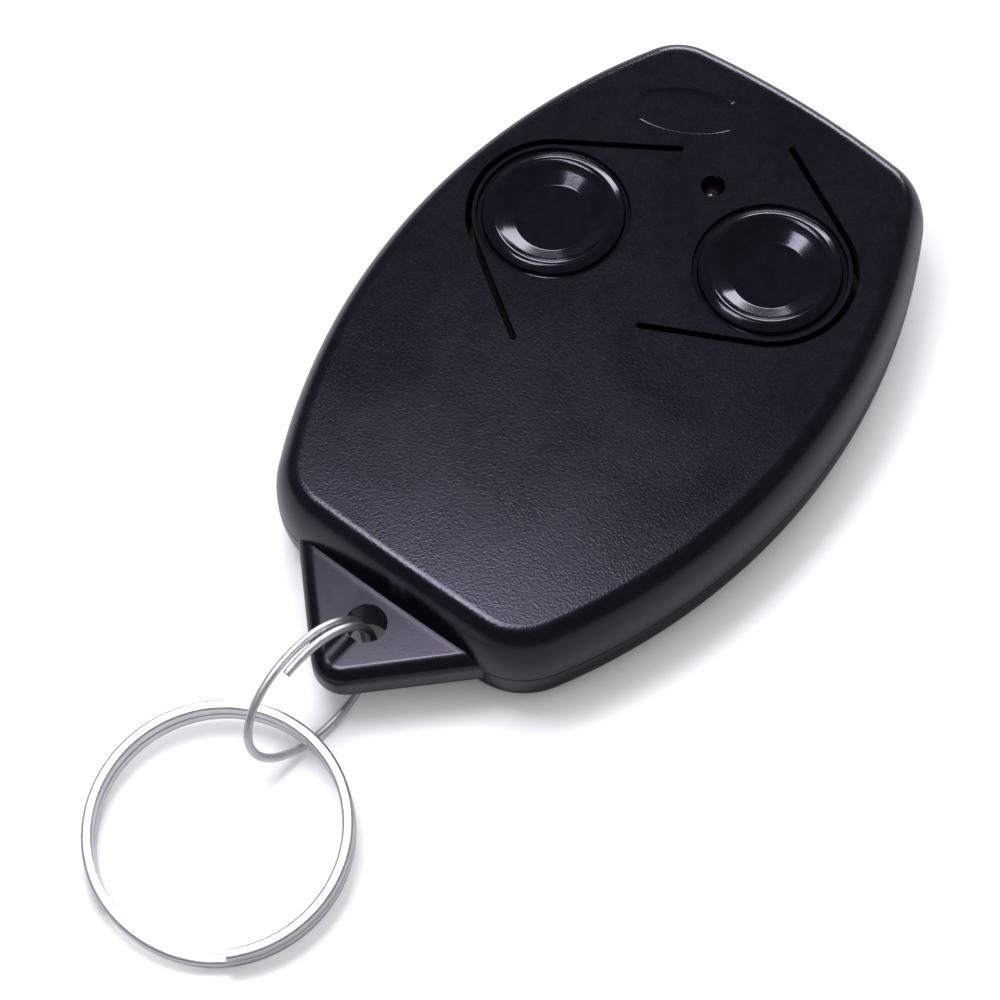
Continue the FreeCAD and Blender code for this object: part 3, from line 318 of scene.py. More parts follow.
def loose_object(bm, name):
    mesh = bpy.data.meshes.new(name)
    bm.to_mesh(mesh)
    bm.free()
    obj = bpy.data.objects.new(name, mesh)
    bpy.context.scene.collection.objects.link(obj)
    return obj


def combined(base, *steps):
    """Joins or cuts closed bodies: steps are pairs of an operation and a bmesh."""
    body = loose_object(base, "carved")
    tools = []
    for operation, tool in steps:
        tools.append(loose_object(tool, "cutter"))
        step = body.modifiers.new("carve", "BOOLEAN")
        step.operation = operation
        step.solver = "EXACT"
        step.object = tools[-1]
    shown = body.evaluated_get(bpy.context.evaluated_depsgraph_get())
    mesh = bpy.data.meshes.new_from_object(shown)
    bm = bmesh.new()
    bm.from_mesh(mesh)
    for obj in [body] + tools:
        bpy.data.meshes.remove(obj.data)
    bpy.data.meshes.remove(mesh)
    bmesh.ops.remove_doubles(bm, verts=bm.verts, dist=WELD)
    bmesh.ops.dissolve_degenerate(bm, dist=WELD, edges=bm.edges)
    return bm


def piece(bm, name, body, nodes, material):
    """Makes a finished piece of the remote from a bmesh in millimetres."""
    bmesh.ops.transform(bm, matrix=Matrix.Scale(0.001, 4), verts=bm.verts)
    obj = loose_object(bm, name)
    for polygon in obj.data.polygons:
        polygon.use_smooth = True
    obj.data.set_sharp_from_angle(angle=SMOOTH_ANGLE)
    even = obj.modifiers.new("even_shading", "WEIGHTED_NORMAL")
    even.keep_sharp = True
    obj.data.materials.append(material)
    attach(obj, body)
    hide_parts(*nodes)
    return obj


# Shader helpers. The materials' coordinates are in metres, so noise scales are per metre.

def group(name, inputs, outputs):
    tree = bpy.data.node_groups.new(name, "ShaderNodeTree")
    for label, kind, value in inputs:
        socket = tree.interface.new_socket(label, in_out="INPUT", socket_type=kind)
        if value is not None:
            socket.default_value = value
    for label, kind in outputs:
        tree.interface.new_socket(label, in_out="OUTPUT", socket_type=kind)
    return tree, tree.nodes.new("NodeGroupInput"), tree.nodes.new("NodeGroupOutput")


def add(tree, kind, **settings):
    node = tree.nodes.new(kind)
    for key, value in settings.items():
        setattr(node, key, value)
    return node


def maths(tree, operation, a, b=None, c=None):
    node = add(tree, "ShaderNodeMath", operation=operation)
    for socket, value in zip(node.inputs, (a, b, c)):
        if value is None:
            continue
        if isinstance(value, (int, float)):
            socket.default_value = value
        else:
            tree.links.new(value, socket)
    return node.outputs[0]


def band(tree, value, low, high, out_low=0.0, out_high=1.0):
    """Smooth step of a value between two levels, onto an output range."""
    node = add(tree, "ShaderNodeMapRange", interpolation_type="SMOOTHSTEP")
    tree.links.new(value, node.inputs["Value"])
    limits = {"From Min": low, "From Max": high, "To Min": out_low, "To Max": out_high}
    for label, number in limits.items():
        node.inputs[label].default_value = number
    return node.outputs[0]


def blend_colours(tree, factor, a, b):
    node = add(tree, "ShaderNodeMix", data_type="RGBA")
    tree.links.new(factor, node.inputs[0])
    for socket, value in ((node.inputs[6], a), (node.inputs[7], b)):
        if isinstance(value, tuple):
            socket.default_value = (*value, 1)
        else:
            tree.links.new(value, socket)
    return node.outputs[2]


def noise(tree, scale, detail, **more):
    node = add(tree, "ShaderNodeTexNoise")
    for label, value in {"Scale": scale, "Detail": detail, **more}.items():
        node.inputs[label].default_value = value
    return node


def spark_grain_group():
    """Pits and islands that spark erosion leaves in a mould, at about a fifth of a millimetre."""
    tree, given, out = group("spark_eroded_grain", [
        ("Vector", "NodeSocketVector", None), ("Scale", "NodeSocketFloat", 1.0),
    ], [("Height", "NodeSocketFloat"), ("Mottle", "NodeSocketFloat")])
    scaled = add(tree, "ShaderNodeVectorMath", operation="SCALE")
    tree.links.new(given.outputs["Vector"], scaled.inputs[0])
    tree.links.new(given.outputs["Scale"], scaled.inputs["Scale"])
    fine = noise(tree, 5400, 2, Roughness=0.6)
    islands = add(tree, "ShaderNodeTexVoronoi", feature="SMOOTH_F1")
    islands.inputs["Scale"].default_value = 5200
    broad = noise(tree, 900, 4)
    for node in (fine, islands, broad):
        tree.links.new(scaled.outputs[0], node.inputs["Vector"])
    island_height = maths(tree, "MULTIPLY", islands.outputs["Distance"], 0.35)
    height = maths(tree, "MULTIPLY_ADD", fine.outputs["Fac"], 0.9, island_height)
    tree.links.new(height, out.inputs["Height"])
    tree.links.new(band(tree, broad.outputs["Fac"], 0.3, 0.7), out.inputs["Mottle"])
    return tree


def handling_group():
    """Soft uneven sheen from handling: smears and a little dust."""
    tree, given, out = group("handling_marks", [("Vector", "NodeSocketVector", None)],
                             [("Smear", "NodeSocketFloat"), ("Dust", "NodeSocketFloat")])
    smear = noise(tree, 130, 5, Distortion=0.6)
    dust = noise(tree, 5200, 2)
    for node in (smear, dust):
        tree.links.new(given.outputs["Vector"], node.inputs["Vector"])
    tree.links.new(band(tree, smear.outputs["Fac"], 0.35, 0.7), out.inputs["Smear"])
    tree.links.new(band(tree, dust.outputs["Fac"], 0.72, 0.8), out.inputs["Dust"])
    return tree


def drawn_lines_group():
    """Fine lines that drawing or rolling leaves in metal, along a chosen stretch."""
    tree, given, out = group("drawn_lines", [
        ("Vector", "NodeSocketVector", None), ("Stretch", "NodeSocketVector", None),
    ], [("Lines", "NodeSocketFloat"), ("Cloud", "NodeSocketFloat")])
    stretched = add(tree, "ShaderNodeVectorMath", operation="MULTIPLY")
    tree.links.new(given.outputs["Vector"], stretched.inputs[0])
    tree.links.new(given.outputs["Stretch"], stretched.inputs[1])
    lines = noise(tree, 1500, 4)
    cloud = noise(tree, 380, 3)
    tree.links.new(stretched.outputs[0], lines.inputs["Vector"])
    tree.links.new(given.outputs["Vector"], cloud.inputs["Vector"])
    tree.links.new(lines.outputs["Fac"], out.inputs["Lines"])
    tree.links.new(cloud.outputs["Fac"], out.inputs["Cloud"])
    return tree


SPARK_GRAIN = spark_grain_group()
HANDLING = handling_group()
DRAWN_LINES = drawn_lines_group()

# Where the grain begins and is full, in metres: from the centre of a key, and up the casing
BUTTON_GRAIN_STARTS = (0.0056, 0.0059)
FACE_GRAIN_STARTS = (0.0088, 0.0097)


def new_material(name, **plain):
    """A material with its Principled shader; plain values go on the shader's own sockets."""
    material = bpy.data.materials.new(name)
    material.use_nodes = True
    tree = material.node_tree
    shader = tree.nodes["Principled BSDF"]
    for label, value in plain.items():
        shader.inputs[label.replace("_", " ")].default_value = value
    place = tree.nodes.new("ShaderNodeTexCoord").outputs["Object"]
    return material, tree, shader, place


def use_group(tree, source, place, **values):
    node = add(tree, "ShaderNodeGroup", node_tree=source)
    tree.links.new(place, node.inputs["Vector"])
    for label, value in values.items():
        node.inputs[label].default_value = value
    return node.outputs


def bump(tree, shader, height, distance, strength):
    node = add(tree, "ShaderNodeBump")
    node.inputs["Distance"].default_value = distance
    if isinstance(strength, (int, float)):
        node.inputs["Strength"].default_value = strength
    else:
        tree.links.new(strength, node.inputs["Strength"])
    tree.links.new(height, node.inputs["Height"])
    tree.links.new(node.outputs[0], shader.inputs["Normal"])


def distance_in_plan(tree, place, spot):
    """Distance in metres, seen from above, from a spot given in millimetres."""
    flat = add(tree, "ShaderNodeVectorMath", operation="MULTIPLY")
    flat.inputs[1].default_value = (1, 1, 0)
    tree.links.new(place, flat.inputs[0])
    from_spot = add(tree, "ShaderNodeVectorMath", operation="DISTANCE")
    tree.links.new(flat.outputs[0], from_spot.inputs[0])
    from_spot.inputs[1].default_value = (spot[0] / 1000, spot[1] / 1000, 0)
    return from_spot.outputs["Value"]


def height_above_back(tree, place):
    where = add(tree, "ShaderNodeSeparateXYZ")
    tree.links.new(place, where.inputs[0])
    return where.outputs["Z"]


def casing_plastic(name, smooth_spot=None, gloss=0.25):
    """Near-black moulded ABS: grained on the face, smoother on the walls, tab and buttons."""
    material, tree, shader, place = new_material(
        name, IOR=1.5, Specular_IOR_Level=0.5, Specular_Tint=(0.84, 0.80, 1.0, 1))
    grain = use_group(tree, SPARK_GRAIN, place, Scale=1.0)
    marks = use_group(tree, HANDLING, place)
    if smooth_spot:
        grained = band(tree, distance_in_plan(tree, place, smooth_spot), *BUTTON_GRAIN_STARTS)
    else:
        grained = band(tree, height_above_back(tree, place), *FACE_GRAIN_STARTS)
    tint = blend_colours(tree, grain["Mottle"], (0.0025, 0.0022, 0.0058), (0.0055, 0.0048, 0.0112))
    dust = maths(tree, "MULTIPLY", marks["Dust"], 0.2)
    dusty = blend_colours(tree, dust, tint, (0.06, 0.055, 0.075))
    tree.links.new(dusty, shader.inputs["Base Color"])
    pit_depth = maths(tree, "MULTIPLY_ADD", grain["Height"], 0.16, -0.1)
    pits = maths(tree, "MULTIPLY", grained, pit_depth)
    rough = maths(tree, "ADD", band(tree, grained, 0, 1, gloss, 0.25), pits)
    smeared = maths(tree, "MULTIPLY_ADD", marks["Smear"], -0.05, rough)
    tree.links.new(smeared, shader.inputs["Roughness"])
    bump(tree, shader, grain["Height"], 0.00008, band(tree, grained, 0, 1, 0.03, 0.19))
    return material


def bright_wire():
    """Bright nickel on drawn wire."""
    material, tree, shader, place = new_material("ring_wire", Metallic=1.0)
    drawn = use_group(tree, DRAWN_LINES, place, Stretch=(1, 1, 9))
    cloudy = band(tree, drawn["Cloud"], 0.3, 0.7)
    colour = blend_colours(tree, cloudy, (0.86, 0.86, 0.89), (0.95, 0.94, 0.96))
    tree.links.new(colour, shader.inputs["Base Color"])
    tree.links.new(band(tree, drawn["Lines"], 0.3, 0.75, 0.42, 0.56), shader.inputs["Roughness"])
    bump(tree, shader, drawn["Lines"], 0.00002, 0.25)
    return material


def sheet_metal(name, dark, light, low, high):
    """Plated or rolled metal with fine lines and cloudy tone."""
    material, tree, shader, place = new_material(name, Metallic=1.0)
    drawn = use_group(tree, DRAWN_LINES, place, Stretch=(1, 12, 1))
    colour = blend_colours(tree, band(tree, drawn["Cloud"], 0.3, 0.7), dark, light)
    tree.links.new(colour, shader.inputs["Base Color"])
    tree.links.new(band(tree, drawn["Lines"], 0.3, 0.7, low, high), shader.inputs["Roughness"])
    bump(tree, shader, drawn["Lines"], 0.00001, 0.3)
    return material


def moulded(name, dark, light, low, high, grain_scale=1.6, depth=0.00003, **plain):
    """A small moulded, fired or pressed piece with a fine matt skin."""
    material, tree, shader, place = new_material(name, **plain)
    grain = use_group(tree, SPARK_GRAIN, place, Scale=grain_scale)
    tree.links.new(blend_colours(tree, grain["Mottle"], dark, light), shader.inputs["Base Color"])
    tree.links.new(band(tree, grain["Mottle"], 0, 1, low, high), shader.inputs["Roughness"])
    bump(tree, shader, grain["Height"], depth, 0.5)
    return material


def board_laminate():
    """Green solder resist over woven glass, the weave just showing through."""
    material, tree, shader, place = new_material("board_laminate", Coat_Weight=0.4,
                                                 Coat_Roughness=0.25)
    warp = add(tree, "ShaderNodeTexWave", bands_direction="X")
    weft = add(tree, "ShaderNodeTexWave", bands_direction="Y")
    for node in (warp, weft):
        node.inputs["Scale"].default_value = 700
        node.inputs["Distortion"].default_value = 0.4
        tree.links.new(place, node.inputs["Vector"])
    weave = maths(tree, "MAXIMUM", warp.outputs["Fac"], weft.outputs["Fac"])
    colour = blend_colours(tree, weave, (0.002, 0.009, 0.0045), (0.003, 0.014, 0.007))
    tree.links.new(colour, shader.inputs["Base Color"])
    tree.links.new(band(tree, weave, 0, 1, 0.34, 0.46), shader.inputs["Roughness"])
    bump(tree, shader, weave, 0.00001, 0.4)
    return material


# Casing

def rounded_section(far, rounding, squareness):
    """Wall section from the parting level, upright at first, rounded over to the far level."""
    way = 1 if far > PARTING else -1
    points = [(PARTING_GROOVE, PARTING), (0, PARTING + way * PARTING_GROOVE)]
    for step in range(1, SECTION_STEPS + 1):
        angle = math.pi / 2 * step / SECTION_STEPS
        inset = rounding * (1 - max(math.cos(angle), 0) ** (2 / squareness))
        points.append((inset, PARTING + (far - PARTING) * math.sin(angle) ** (2 / squareness)))
    return points


def tab_block(far, rounding):
    """Half of the key tab, its outer edge rounded."""
    bm = bmesh.new()
    tip_centre = Vector((0, TAIL_Y - TAB_REACH + TAB_TIP_RADIUS, 0))
    start = tip_centre - ray(TAB_HALF_ANGLE) * TAB_TIP_RADIUS
    root_y = TAIL_Y + TAB_ROOT_IN_WALL
    root_x = -start.x + (root_y - start.y) * math.tan(TAB_HALF_ANGLE)
    left = bm.verts.new(start)
    last = spun(bm, [left], tip_centre, UP, math.pi / 2, 24)
    tip_end = next(g for g in last if isinstance(g, bmesh.types.BMVert))
    roots = [bm.verts.new((x, root_y, 0)) for x in (root_x, -root_x)]
    for pair in ((tip_end, roots[0]), roots, (roots[1], left)):
        bm.edges.new(pair)
    raised(bm, min(far, PARTING), max(far, PARTING))

    def on_outer_rim(edge):
        at_far_level = all(abs(v.co.z - far) < WELD for v in edge.verts)
        return at_far_level and edge_middle(edge).y < root_y - 0.1

    return soften(bm, rounding, 8, on_outer_rim)


def slot_end_reach(key, radius):
    """Half the distance between the two ends of a slot of the given radius."""
    angle, end_offset = key[3:]
    return radius / math.cos(angle) + end_offset * math.tan(angle)


def key_plan(key, radius, root_offset, low, high):
    """Block with the plan of a key: a round end, straight sides that widen, a square root."""
    x, y, side, angle, end_offset = key
    bm = bmesh.new()
    reach = slot_end_reach(key, radius)
    first = bm.verts.new((-radius * math.sin(angle), radius * math.cos(angle), 0))
    last = spun(bm, [first], (0, 0, 0), UP, math.pi - 2 * angle, 64)
    arc_end = next(g for g in last if isinstance(g, bmesh.types.BMVert))
    corners = [(end_offset, -reach)]
    if root_offset > end_offset:
        corners += [(root_offset, -reach), (root_offset, reach)]
    corners += [(end_offset, reach)]
    verts = [arc_end] + [bm.verts.new((cx, cy, 0)) for cx, cy in corners] + [first]
    for pair in zip(verts, verts[1:]):
        bm.edges.new(pair)
    bmesh.ops.scale(bm, vec=(side, 1, 1), verts=bm.verts)
    bmesh.ops.translate(bm, verts=bm.verts, vec=(x, y, 0))
    return raised(bm, low, high)


def oval_cutter():
    """Shallow oval with sloping sides for the bare place near the lamp end."""
    bm = bmesh.new()
    slope = OVAL_DEPTH / OVAL_HALF_WIDTH
    bmesh.ops.create_cone(bm, cap_ends=True, segments=96, radius1=1 - slope, radius2=1 + slope,
                          depth=2 * OVAL_DEPTH)
    shape = Matrix.Diagonal((OVAL_HALF_LENGTH, OVAL_HALF_WIDTH, 1, 1))
    place = Matrix.Translation((OVAL_X, OVAL_Y, BODY_HEIGHT)) @ Matrix.Rotation(OVAL_TILT, 4, "Z")
    bmesh.ops.transform(bm, matrix=place @ shape, verts=bm.verts)
    bmesh.ops.recalc_face_normals(bm, faces=bm.faces)
    return bm


def make_front_cover(material):
    base = walled(rounded_section(BODY_HEIGHT, FACE_ROUNDING, FACE_SQUARENESS))
    half_slot = SLOT_WIDTH / 2
    low, high = BODY_HEIGHT - FACE_WALL - CUT_OVER, BODY_HEIGHT + CUT_OVER
    room = [(SIDE_WALL, PARTING - CUT_OVER),
            (SIDE_WALL + FRONT_ROOM_DRAFT, BODY_HEIGHT - FACE_WALL)]
    cuts = [oval_cutter(), walled(room, 12, 6)]
    for key in KEYS.values():
        x, y, side, _, end_offset = key
        reach = slot_end_reach(key, SLOT_RADIUS)
        cuts.append(key_plan(key, SLOT_RADIUS + half_slot, end_offset, low, high))
        cuts.append(key_plan(key, SLOT_RADIUS - half_slot, KEY_ROOT_OFFSET, low, high))
        for turn in (1, -1):
            cuts.append(cylinder(half_slot, low, high, x + side * end_offset, y + turn * reach, 24))
    cuts.append(cylinder(LAMP_HOLE_RADIUS, low, high, LAMP_X, LAMP_Y))
    cuts.append(cylinder(TAB_HOLE_RADIUS, PARTING - CUT_OVER, TAB_TOP + CUT_OVER, 0, TAB_HOLE_Y))
    steps = [("DIFFERENCE", cut) for cut in cuts]
    steps.insert(1, ("UNION", tab_block(TAB_TOP, TAB_TOP_FILLET)))
    bm = combined(base, *steps)
    return piece(bm, "casing_front", "casing", ["front_cover"], material)


def make_back_cover(material):
    base = walled(rounded_section(0, BACK_ROUNDING, BACK_SQUARENESS))
    room = [(SIDE_WALL, PARTING + CUT_OVER), (SIDE_WALL + BACK_ROOM_DRAFT, BACK_WALL)]
    tab_hole = cylinder(TAB_HOLE_RADIUS, TAB_BOTTOM - CUT_OVER, PARTING + CUT_OVER, 0, TAB_HOLE_Y)
    screw_seat = cylinder(SCREW_SEAT_RADIUS, -CUT_OVER, SCREW_SEAT_DEPTH, 0, SCREW_Y)
    bm = combined(
        base,
        ("UNION", tab_block(TAB_BOTTOM, TAB_BOTTOM_FILLET)),
        ("DIFFERENCE", walled(room, 12, 6)),
        ("DIFFERENCE", tab_hole),
        ("DIFFERENCE", screw_seat),
    )
    return piece(bm, "casing_back", "casing", ["back_cover"], material)


def arc_points(start, middle, end, steps):
    """Points on the circle through three points of a half section, without the first."""
    a, b, c = (Vector(p).to_2d() for p in (start, middle, end))
    across = 2 * (a.x * (b.y - c.y) + b.x * (c.y - a.y) + c.x * (a.y - b.y))
    weights = (a.length_squared, b.length_squared, c.length_squared)
    centre = Vector((
        sum(w * k for w, k in zip(weights, (b.y - c.y, c.y - a.y, a.y - b.y))) / across,
        sum(w * k for w, k in zip(weights, (c.x - b.x, a.x - c.x, b.x - a.x))) / across,
    ))
    first, mid, last = (math.atan2((p - centre).y, (p - centre).x) for p in (a, b, c))
    sweep = (last - first) % (2 * math.pi)
    if (mid - first) % (2 * math.pi) > sweep:
        sweep -= 2 * math.pi
    radius = (a - centre).length
    angles = [first + sweep * step / steps for step in range(1, steps + 1)]
    return [(centre.x + radius * math.cos(t), centre.y + radius * math.sin(t)) for t in angles]


def button_section():
    """Half section of what is turned away above a key: moat, crest and dish.

    The extra rings near both ends of the dish wall keep its slope flat in the shading.
    """
    face = BODY_HEIGHT
    moat = [(MOAT_RADIUS, face)] + [(r, face - MOAT_DEPTH) for r in MOAT_FLOOR_RADII]
    shoulder = (CREST_SHOULDER_RADIUS, face + CREST_SHOULDER_HEIGHT)
    crest = (CREST_RADIUS, face + CREST_HEIGHT)
    rim = (DISH_RADIUS, face + DISH_RIM_HEIGHT)
    low = face - DISH_DEPTH
    wall = Vector((DISH_WALL_RADIUS, face - DISH_WALL_DROP))
    foot = (DISH_FOOT_RADIUS, low + DISH_FOOT_RISE)
    bend = ((DISH_FOOT_RADIUS + DISH_FLOOR_RADIUS) / 2, low + DISH_FOOT_RISE * DISH_FOOT_SAG)
    top = face + CUTTER_HEIGHT
    section = [(0, top), (CUTTER_RADIUS, top), (CUTTER_RADIUS, face)]
    section += moat + [(CREST_FOOT_RADIUS, face), shoulder]
    section += arc_points(shoulder, crest, rim, 10)
    section += [tuple(wall.lerp(Vector(foot), t)) for t in DISH_WALL_RINGS] + [foot]
    return section + arc_points(foot, bend, (DISH_FLOOR_RADIUS, low), 5) + [(0, low)]


def boss_section():
    """Half section of the boss under the dish and of the post that meets the switch."""
    return [
        (0, POST_TIP), (POST_RADIUS, POST_TIP), (POST_RADIUS, BOSS_BOTTOM),
        (BOSS_RADIUS, BOSS_BOTTOM), (BOSS_TOP_RADIUS, BOSS_TOP), (0, BOSS_TOP),
    ]


def make_key(name, material):
    """A key tongue: a thin skin up to its root, a thicker plate up to the hinge groove."""
    key = KEYS[name]
    x, y = key[:2]
    radius, skin = SLOT_RADIUS - SLOT_WIDTH / 2, BODY_HEIGHT - HINGE_SKIN
    plate = key_plan(key, radius - KEY_FIT, KEY_ROOT_OFFSET - KEY_FIT, skin,
                     BODY_HEIGHT + KEY_TOP_STOCK)
    thick = key_plan(key, radius - KEY_PLAY, KEY_ROOT_OFFSET - HINGE_GROOVE,
                     BODY_HEIGHT - KEY_PLATE, skin + JOIN_OVERLAP)
    bm = combined(plate, ("UNION", thick), ("DIFFERENCE", turned(button_section(), x, y, 128)),
                  ("UNION", turned(boss_section(), x, y, 64)))
    return piece(bm, "dished_key_" + name, name + "_key", ["key_" + name],
                 material)


def make_lamp(material):
    """Round-nosed lamp that sits back in its hole."""
    high = BODY_HEIGHT - LAMP_RECESS
    collar = (LAMP_RADIUS, high - LAMP_NOSE)
    halfway = (LAMP_RADIUS * 0.707, high - LAMP_NOSE * 0.293)
    section = [(0, LAMP_FOOT), (LAMP_RADIUS, LAMP_FOOT), collar]
    section += arc_points(collar, halfway, (0, high), 14)
    bm = turned(section, LAMP_X, LAMP_Y, 48)
    return piece(bm, "lamp_lens", "casing", ["indicator_lamp"], material)


def make_screw(material):
    """Pan-head screw with a pressed cross, its threads cut as rings."""
    top = SCREW_SINK
    shoulder = top + SCREW_HEAD
    tip = shoulder + SCREW_LENGTH
    flat, crown = SCREW_CROWN_RADII
    crown_drop, rim_drop = SCREW_CROWN_DROPS
    section = [(0, top), (flat, top)]
    section += arc_points((flat, top), (crown, top + crown_drop),
                          (SCREW_HEAD_RADIUS, top + rim_drop), 8)
    section += [
        (SCREW_HEAD_RADIUS, shoulder - SCREW_HEAD_CHAMFER),
        (SCREW_HEAD_RADIUS - SCREW_HEAD_CHAMFER, shoulder),
        (SCREW_CORE, shoulder),
    ]
    level = shoulder + SCREW_PLAIN_TOP
    while level < tip - SCREW_PLAIN_TIP:
        ridge = level + SCREW_THREAD / 2
        section += [(SCREW_CORE, level), (SCREW_RADIUS, ridge), (SCREW_CORE, level + SCREW_THREAD)]
        level += SCREW_PITCH
    section += [(SCREW_CORE, tip - SCREW_POINT), (SCREW_POINT_RADIUS, tip), (0, tip)]
    cross = [("DIFFERENCE", cross_bar(turn)) for turn in (0, 1)]
    bm = combined(turned(section, 0, SCREW_Y, 48), *cross)
    return piece(bm, "back_screw", "casing", ["cover_screw"], material)


def cross_bar(turn):
    """One bar of the cross in the screw head, narrowing as it goes in."""
    bm = bmesh.new()
    bmesh.ops.create_cone(bm, cap_ends=True, segments=4, radius1=CROSS_RADII[0],
                          radius2=CROSS_RADII[1], depth=CROSS_BAR_DEPTH)
    rotate(bm, math.pi / 4, "Z")
    bmesh.ops.scale(bm, vec=CROSS_SCALE, verts=bm.verts)
    rotate(bm, turn * math.pi / 2, "Z")
    bmesh.ops.translate(bm, verts=bm.verts, vec=(0, SCREW_Y, SCREW_SINK + CROSS_BAR_LEVEL))
    return bm


# Rings

def jump_ring_point(turn):
    """Point of the wire's centre line, an oval that creeps sideways as it turns."""
    along = Vector((math.sin(JUMP_HEADING) * math.cos(JUMP_RISE),
                    -math.cos(JUMP_HEADING) * math.cos(JUMP_RISE), math.sin(JUMP_RISE)))
    upright = (UP - along * along.z).normalized()
    across = upright * math.cos(JUMP_LEAN) + along.cross(upright) * math.sin(JUMP_LEAN)
    normal = -along.cross(across)
    angle = 2 * math.pi * turn
    hole = Vector((0, TAB_HOLE_Y, (TAB_TOP + TAB_BOTTOM) / 2))
    length_part = along * (JUMP_HALF_LENGTH * (1 - math.cos(angle)))
    height_part = across * (JUMP_HALF_HEIGHT * math.sin(angle))
    return hole + length_part + height_part + normal * (JUMP_PITCH * (turn + 0.5))


def make_jump_ring(material):
    """Round wire bent into an oval of a little over one turn, its cut ends slightly rounded."""
    curve = bpy.data.curves.new("jump_ring_path", "CURVE")
    curve.dimensions = "3D"
    spline = curve.splines.new("POLY")
    spline.points.add(JUMP_STEPS)
    for index, point in enumerate(spline.points):
        turn = JUMP_START + (JUMP_END - JUMP_START) * index / JUMP_STEPS
        point.co = (*jump_ring_point(turn), 1)
    curve.bevel_depth = JUMP_WIRE_RADIUS
    curve.bevel_resolution = 6
    curve.use_fill_caps = True
    path = bpy.data.objects.new("jump_ring_path", curve)
    bpy.context.scene.collection.objects.link(path)
    shown = path.evaluated_get(bpy.context.evaluated_depsgraph_get())
    mesh = bpy.data.meshes.new_from_object(shown)
    bm = bmesh.new()
    bm.from_mesh(mesh)
    bpy.data.objects.remove(path)
    bpy.data.meshes.remove(mesh)
    bmesh.ops.remove_doubles(bm, verts=bm.verts, dist=WELD)
    soften(bm, JUMP_CUT_ROUNDING, 2, lambda e: e.calc_face_angle(0) > JUMP_CUT_ANGLE)
    bmesh.ops.recalc_face_normals(bm, faces=bm.faces)
    return piece(bm, "oval_jump_ring", "jump_ring", ["jump_ring"], material)


def eased(t):
    return t * t * (3 - 2 * t)


def make_key_ring(material):
    """Two layers of flat wire with rounded edges, joined by a smooth ramp."""
    bm = bmesh.new()
    low = RING_LAYER / 2
    high = low + RING_LAYER + RING_LAYER_GAP
    bmesh.ops.create_grid(bm, x_segments=1, y_segments=1, size=0.5)
    bmesh.ops.scale(bm, vec=(RING_BAND, RING_LAYER, 1), verts=bm.verts)
    bmesh.ops.bevel(bm, geom=bm.verts[:], offset=RING_WIRE_ROUNDING, offset_type="OFFSET",
                    segments=5, profile=0.5, affect="VERTICES", material=-1)
    rotate(bm, math.pi / 2, "X")
    bmesh.ops.translate(bm, verts=bm.verts, vec=(RING_OUTER_RADIUS - RING_BAND / 2, 0, high))
    rotate(bm, RING_RAMP_END, "Z")
    geom = bm.faces[:] + bm.edges[:] + bm.verts[:]
    turn = 2 * math.pi + RING_RAMP_START - RING_RAMP_END
    geom = spun(bm, geom, (0, 0, 0), UP, turn, RING_TURN_STEPS)
    ramp_step = (RING_RAMP_END - RING_RAMP_START) / RING_RAMP_STEPS
    levels = [eased(step / RING_RAMP_STEPS) for step in range(RING_RAMP_STEPS + 1)]
    for before, after in zip(levels, levels[1:]):
        drop = (low - high) * (after - before)
        geom = spun(bm, geom, (0, 0, 0), UP, ramp_step, 1, dvec=(0, 0, drop))
    spun(bm, geom, (0, 0, 0), UP, turn, RING_TURN_STEPS)
    close_holes(bm)
    tilt = math.asin(RING_LIFT / (2 * RING_OUTER_RADIUS))
    rotate(bm, tilt, "X", (0, -RING_OUTER_RADIUS, 0))
    bmesh.ops.translate(bm, verts=bm.verts, vec=(RING_X, RING_Y, 0))
    return piece(bm, "split_key_ring", "key_ring", ["key_ring"], material)


# Finishes by slot

# By slot: dark tone, light tone, lowest and highest roughness
METALS = {
    "screw_steel": ((0.30, 0.30, 0.29), (0.46, 0.45, 0.42), 0.25, 0.45),
    "track_copper": ((0.03, 0.05, 0.022), (0.05, 0.07, 0.03), 0.35, 0.5),
    "tinned_legs": ((0.50, 0.50, 0.50), (0.64, 0.64, 0.62), 0.25, 0.42),
    "cell_steel": ((0.50, 0.50, 0.48), (0.62, 0.62, 0.60), 0.22, 0.36),
    "contact_nickel": ((0.54, 0.52, 0.48), (0.68, 0.66, 0.61), 0.2, 0.36),
}
MOULDINGS = {
    "seal_plastic": ((0.09, 0.09, 0.09), (0.13, 0.13, 0.13), 0.45, 0.6),
    "chip_epoxy": ((0.012, 0.012, 0.014), (0.024, 0.024, 0.026), 0.5, 0.66),
    "ceramic": ((0.46, 0.36, 0.24), (0.58, 0.48, 0.35), 0.3, 0.45),
    "ferrite": ((0.045, 0.04, 0.037), (0.07, 0.064, 0.058), 0.55, 0.72),
    "switch_plastic": ((0.035, 0.035, 0.04), (0.06, 0.06, 0.065), 0.42, 0.56),
}
LAMP_LOOK = ((0.006, 0.003, 0.005), (0.010, 0.004, 0.007), 0.16, 0.26)


def make_materials():
    materials = {name: sheet_metal(name, *look) for name, look in METALS.items()}
    materials.update({name: moulded(name, *look) for name, look in MOULDINGS.items()})
    materials["lamp_resin"] = moulded("lamp_resin", *LAMP_LOOK, grain_scale=0.6, depth=0.00001,
                                      Coat_Weight=0.6)
    materials["casing_plastic"] = casing_plastic("casing_plastic")
    materials["board_laminate"] = board_laminate()
    materials["ring_wire"] = bright_wire()
    return materials


def dress_nodes(materials):
    """Gives every carried-over solid the finish of its slot."""
    for entry in frame["record"]["subparts"]:
        node = frame["nodes"][entry["node"]]
        node.data.materials.clear()
        node.data.materials.append(materials[entry["material_slot"]])


# Studio

